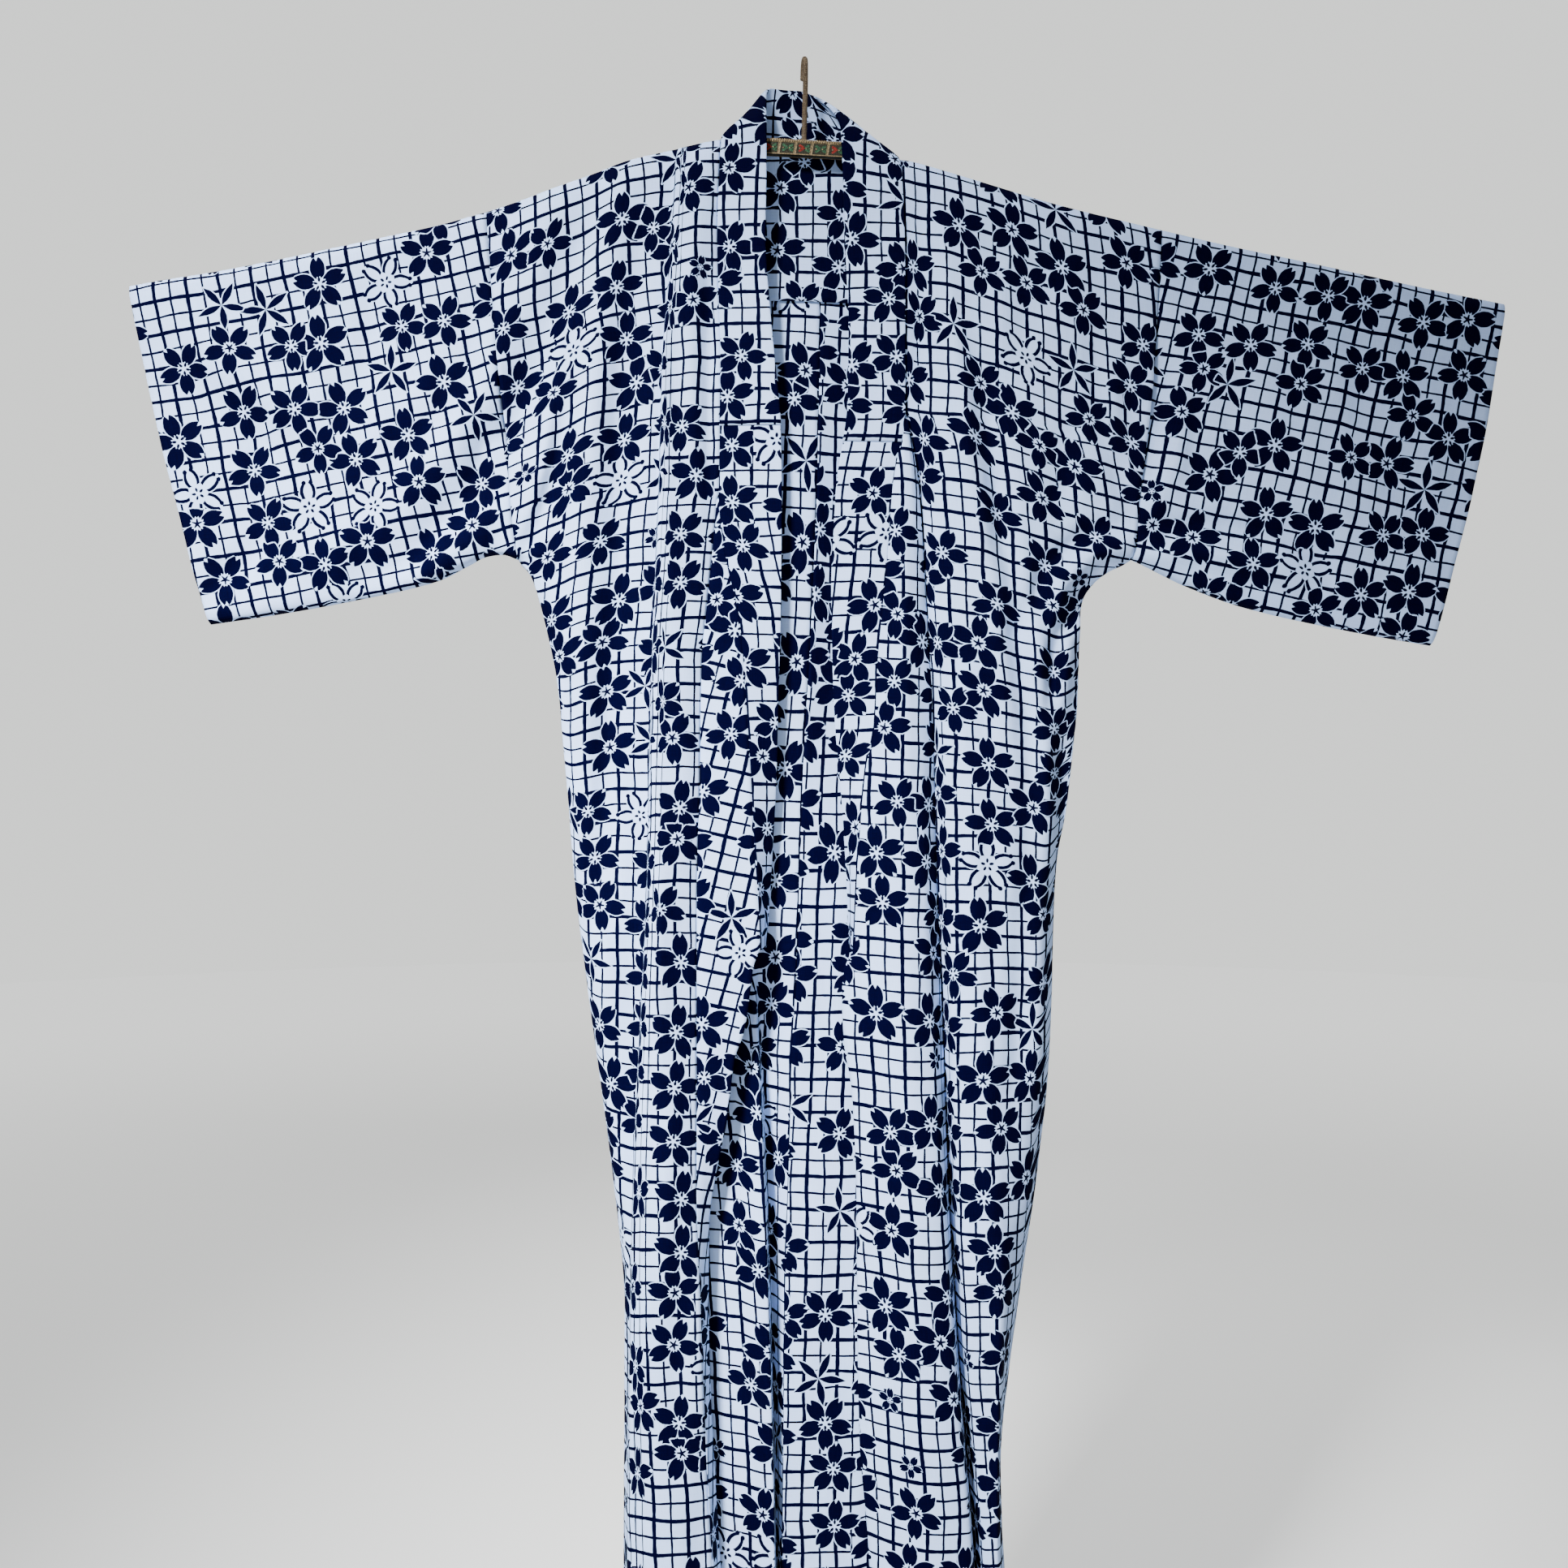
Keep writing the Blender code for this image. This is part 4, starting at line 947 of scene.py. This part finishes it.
def cotton():
    """White plain-weave cotton printed in navy with blossoms over a hand-drawn grid."""
    p = Paint("printed_cotton", Roughness=0.85, Specular_IOR_Level=0.015)
    at = p.scaled(p.node("UVMap", {}).outputs[0], 1 / MM)
    print_at = p.vector("ADD", at, p.stray(at, WAVER_SCALE, WAVER))

    front_ink, front_cover, near = blossoms(p, print_at, "F1")
    rear_ink, rear_cover, far = blossoms(p, print_at, "F2")
    between = ((far - near) / PARTING_EDGE - PARTING).greater(rear_ink * -1.0)
    front_ink = front_ink.lesser(between)
    rear_ink = rear_ink.lesser(between.greater(front_ink * -1.0))
    clear = p.step(front_cover, -CLEAR - CLEAR_EDGE, CLEAR_EDGE - CLEAR)
    rear = p.step(rear_ink, -INK_EDGE, INK_EDGE) * (1.0 - clear)
    bare = p.step(front_cover.greater(rear_cover), HALO_EDGE - HALO, -HALO_EDGE - HALO)
    lines = p.step(printed_grid(p, at), -LINE_EDGE, LINE_EDGE) * bare
    ink = p.step(front_ink, -INK_EDGE, INK_EDGE).greater(rear.greater(lines))

    warp, weft = (p.noise(p.vector("MULTIPLY", at, stretch), THREAD_SCALE)
                  for stretch in ((1, THREAD_RUN, 1), (THREAD_RUN, 1, 1)))
    weave = warp + weft
    shade = p.step(weave, *WEAVE_BETWEEN)
    white, navy = p.mix(shade, CLOTH_SHADE, CLOTH_WHITE), p.mix(shade, INK_DARK, INK_NAVY)
    p.coat("Base Color", p.mix(ink, white, navy))
    p.bump(weave, *WEAVE_RELIEF)
    return p.material


def varied(name, dark, light, scale, roughness, metallic=0.0, stretch=(1, 1, 1), gloss=0.5):
    """A plain material with an uneven colour and a light relief, in the object's own space."""
    p = Paint(name, Roughness=roughness, Metallic=metallic, Specular_IOR_Level=gloss)
    place = p.node("TexCoord", {}).outputs["Object"]
    uneven = p.noise(p.vector("MULTIPLY", place, stretch), scale, 4.0)
    p.coat("Base Color", p.mix(p.step(uneven, 0.3, 0.7), (*dark, 1), (*light, 1)))
    p.bump(uneven, 0.0002)
    return p.material


# ---- hanger
def tube(name, points, radius, paint, nodes=(), sides=2):
    """A round tube along points (x, depth, drop)."""
    data = bpy.data.curves.new(name, "CURVE")
    data.dimensions = "3D"
    data.bevel_depth = radius * MM
    data.bevel_resolution = sides
    data.use_fill_caps = True
    spline = data.splines.new("POLY")
    spline.points.add(len(points) - 1)
    for target, (x, depth, drop) in zip(spline.points, points):
        target.co = (x * MM, depth * MM, -drop * MM, 1)
    piece(name, data, paint, nodes)


def hook():
    """A wire wound closely with cord, from its shaft to its tip."""
    centre_drop = HOOK_LOOP - HOOK_RADIUS
    path = [(0, BAR_CENTRE_DROP - BAR_HEIGHT / 2 - 0.6)] + list(HOOK_SHAFT)
    path += [(-HOOK_LOOP * math.cos(a), centre_drop - HOOK_LOOP * math.sin(a))
             for a in (math.pi * i / 10 for i in range(11))]
    path.append((HOOK_LOOP, HOOK_TIP_DROP))
    side = np.array([math.cos(HOOK_TURN), math.sin(HOOK_TURN), 0])
    path = np.array([(-y * side[1], y * side[0], drop) for y, drop in path])
    place = run_along(path)
    at = np.linspace(0, place[-1], int(place[-1] / CORD_PITCH * CORD_STEPS))
    centre = curve(place, path, at)
    ahead = np.gradient(centre, axis=0)
    ahead /= np.linalg.norm(ahead, axis=1)[:, None]
    up = np.cross(ahead, side)
    phase = (at / CORD_PITCH * 2 * np.pi)[:, None]
    tube("hook_wire", centre[::CORD_STEPS // 2], HOOK_RADIUS - CORD_THICK, CORD)
    wound = centre + (HOOK_RADIUS - CORD_THICK) * (side * np.cos(phase) + up * np.sin(phase))
    tube("hook_winding", wound, CORD_THICK, CORD, ["hanger_hook"], sides=1)


def blocks(name, paint, boxes, nodes=(), faces=(-BAR_DEPTH / 2, BAR_DEPTH / 2), edge=0.3):
    """Round-edged boxes on the tilted bar, in one mesh, each as in the tables of marks."""
    hung = Matrix.Translation((0, 0, -BAR_CENTRE_DROP)) @ Matrix.Rotation(BAR_TILT, 4, "Y")
    work = bmesh.new()
    for y, (x, z, *size, turn) in itertools.product(faces, boxes):
        placed = Matrix.LocRotScale(Vector((x, y, z)), Matrix.Rotation(turn, 3, "Y"), Vector(size))
        bmesh.ops.create_cube(work, size=1, matrix=Matrix.Scale(MM, 4) @ hung @ placed)
    bmesh.ops.bevel(work, geom=work.edges[:], offset=edge * MM, segments=2, affect="EDGES",
                    clamp_overlap=True)
    mesh = bpy.data.meshes.new(name)
    work.to_mesh(mesh)
    work.free()
    piece(name, mesh, paint, nodes)


def marks_at(x, marks):
    return [(x + off, *rest) for off, *rest in marks]


def bar():
    """A dark bar with a ribbed gilt rail and five gilt frames round small woven lozenges."""
    blocks("bar_core", LACQUER, [(0, 0, 2 * BAR_HALF_LENGTH, BAR_DEPTH, BAR_HEIGHT, 0)],
           ["hanger_bar"], faces=(0,), edge=1.2)
    start, end = BAR_END - BAR_HALF_LENGTH, BAR_HALF_LENGTH - BAR_END
    pitch = (end - start) / BAR_FRAMES
    gilt = [(0, height, end - start, 1, thick, 0) for height, thick in BAR_RAILS]
    gilt += [(x, *BAR_RIB) for x in np.arange(start + 0.3, end, BAR_RIB_PITCH)]
    for i in range(BAR_FRAMES + 1):
        gilt += marks_at(start + i * pitch * POST_SPREAD, POSTS)
    red, green = [], []
    for i in range(BAR_FRAMES):
        x = start + 0.4 + (i + 0.5) * pitch
        (green if i % 2 else red).extend(marks_at(x, LEFT_MARKS))
        green += marks_at(x, RIGHT_MARKS)
        gilt += marks_at(x, GILT_MARKS)
    blocks("bar_gilt", GILT, gilt)
    blocks("bar_red", RED, red)
    blocks("bar_green", GREEN, green)


# ---- camera and light
def soft_light(name, place, target, size, power, spread=180):
    data = bpy.data.lights.new(name, "AREA")
    data.size, data.energy, data.spread = size, power, math.radians(spread)
    made = added(name, data)
    made.location = place
    aim = Vector(target) - made.location
    made.rotation_euler = aim.to_track_quat("-Z", "Y").to_euler()


def camera():
    data = bpy.data.cameras.new("camera")
    data.sensor_width = 36
    data.lens = data.sensor_width / 2 / math.tan(math.radians(CAMERA_ANGLE) / 2)
    made = added("camera", data)
    made.location = CAMERA
    made.rotation_euler = (math.pi / 2, 0, 0)
    bpy.context.scene.camera = made


def lights():
    """A lamp high on the viewer's left, a low one, one from behind, and soft light from above."""
    soft_light("key", (-1.16, -2.12, 0.94), (-0.3, 0, -0.85), 0.5, 23, 41)
    soft_light("low", (-0.2, -2.6, -0.9), (-0.05, 0, -1.35), 1.2, 2.5, 50)
    soft_light("rear", (0.3, 2.4, 0.6), (CAMERA[0], 0, CAMERA[2]), 2.2, 40)
    sun = bpy.data.lights.new("overhead", "SUN")
    sun.energy, sun.angle = 2.5, math.radians(25)
    added("overhead", sun)


def surroundings():
    """Dim light from all sides, a pale backdrop that only the camera sees, and a floor."""
    world = bpy.data.worlds.new("studio")
    air = Nodes(world)
    ambient = air.node("Background", {"Color": (0.97, 0.98, 1.0, 1), "Strength": 0.1})
    backdrop = air.node("Background", {"Color": BACKDROP, "Strength": 1.2})
    seen = air.node("LightPath", {}).outputs["Is Camera Ray"]
    both = air.node("MixShader", {0: seen, 1: ambient.outputs[0], 2: backdrop.outputs[0]})
    air.feed(air.tree.nodes["World Output"].inputs["Surface"], both.outputs[0])
    bpy.context.scene.world = world

    bpy.ops.mesh.primitive_circle_add(vertices=96, radius=9, fill_type="NGON",
                                      location=(0, 0, -HEM * MM - FLOOR_CLEAR))
    floor = bpy.context.object
    floor.name = "floor"
    floor.data.materials.append(floor_paint())


def floor_paint():
    """Pale matt paint that glows faintly towards its far edge, where it meets the backdrop."""
    p = Paint("floor_paint", Base_Color=(0.78, 0.79, 0.78, 1), Roughness=0.9,
              Emission_Color=BACKDROP)
    place = p.node("TexCoord", {}).outputs["Object"]
    away = p.node("VectorMath", {0: place}, operation="LENGTH").outputs["Value"]
    p.coat("Emission Strength", p.step(away, *FLOOR_GLOW_BETWEEN) * FLOOR_GLOW)
    return p.material


# ---- the robe
COTTON = cotton()
BACK_LINES = (list(RIGHT_BACK.values()) + list(RIGHT_BACK_NECK.values()) + [BACK_SEAM]
              + list(LEFT_BACK_NECK.values()) + list(reversed(LEFT_BACK.values())))

body("body_right", -1, SHOULDER_RIGHT, RIGHT_FRONT, RIGHT_SIDE, RIGHT_BACK, RIGHT_BACK_NECK,
     inner_line(RIGHT_COLLAR_SEAM, RIGHT_OVERLAP_SEAM, RIGHT_KENSAKI, -SEAM_GAP / 2),
     (RIGHT_FRONT_CREASES, RIGHT_BACK_CREASES), pleat=(14, 18, 22), weft=(180, 900),
     offset=(40, 30))
body("body_left", 1, SHOULDER_LEFT, LEFT_FRONT, LEFT_SIDE, LEFT_BACK, LEFT_BACK_NECK,
     inner_line(LEFT_COLLAR_SEAM, LEFT_OVERLAP_SEAM, LEFT_KENSAKI, SEAM_GAP / 2),
     (LEFT_FRONT_CREASES, LEFT_BACK_CREASES), pleat=(1, 9, 8), weft=(250, 950),
     offset=(460, 120))
overlap("okumi_right", -1, RIGHT_OVERLAP_SEAM, [], RIGHT_COLLAR_SEAM, RIGHT_FREE_EDGE,
        RIGHT_KENSAKI, turn=-13, offset=(210, 60))
overlap("okumi_left", 1, LEFT_OVERLAP_SEAM, LEFT_OVERLAP.values(), LEFT_COLLAR_SEAM,
        LEFT_FREE_EDGE, LEFT_KENSAKI, turn=-4, offset=(330, 90))
collar()
sleeve("sleeve_right", -1, RIGHT_SIDE, RIGHT_SLEEVE_TOP, RIGHT_SLEEVE_BOTTOM, RIGHT_CUFF_BOW,
       RIGHT_SLEEVE_CREASES, offset=(75, 210))
sleeve("sleeve_left", 1, LEFT_SIDE, LEFT_SLEEVE_TOP, LEFT_SLEEVE_BOTTOM, LEFT_CUFF_BOW,
       LEFT_SLEEVE_CREASES, offset=(15, 150))
lining()

WOOD = varied("arm_wood", (0.30, 0.18, 0.08), (0.44, 0.28, 0.13), 60, 0.45, stretch=(0.15, 1, 1))
LACQUER = varied("bar_lacquer", (0.006, 0.007, 0.005), (0.040, 0.038, 0.024), 1100, 0.6, gloss=0.12)
GILT = varied("bar_gilt", (0.10, 0.066, 0.026), (0.33, 0.235, 0.11), 700, 0.5, metallic=0.3)
RED = varied("bar_red", (0.09, 0.007, 0.006), (0.30, 0.028, 0.018), 900, 0.8, gloss=0.2)
GREEN = varied("bar_green", (0.008, 0.032, 0.016), (0.04, 0.13, 0.06), 900, 0.8, gloss=0.2)
CORD = varied("hook_cord", (0.06, 0.042, 0.026), (0.19, 0.135, 0.08), 1500, 0.85)
bar()
hook()
for arm in ("hanger_arm_right", "hanger_arm_left"):
    for slot_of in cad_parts[arm].material_slots:
        slot_of.material = WOOD
camera()
lights()
surroundings()
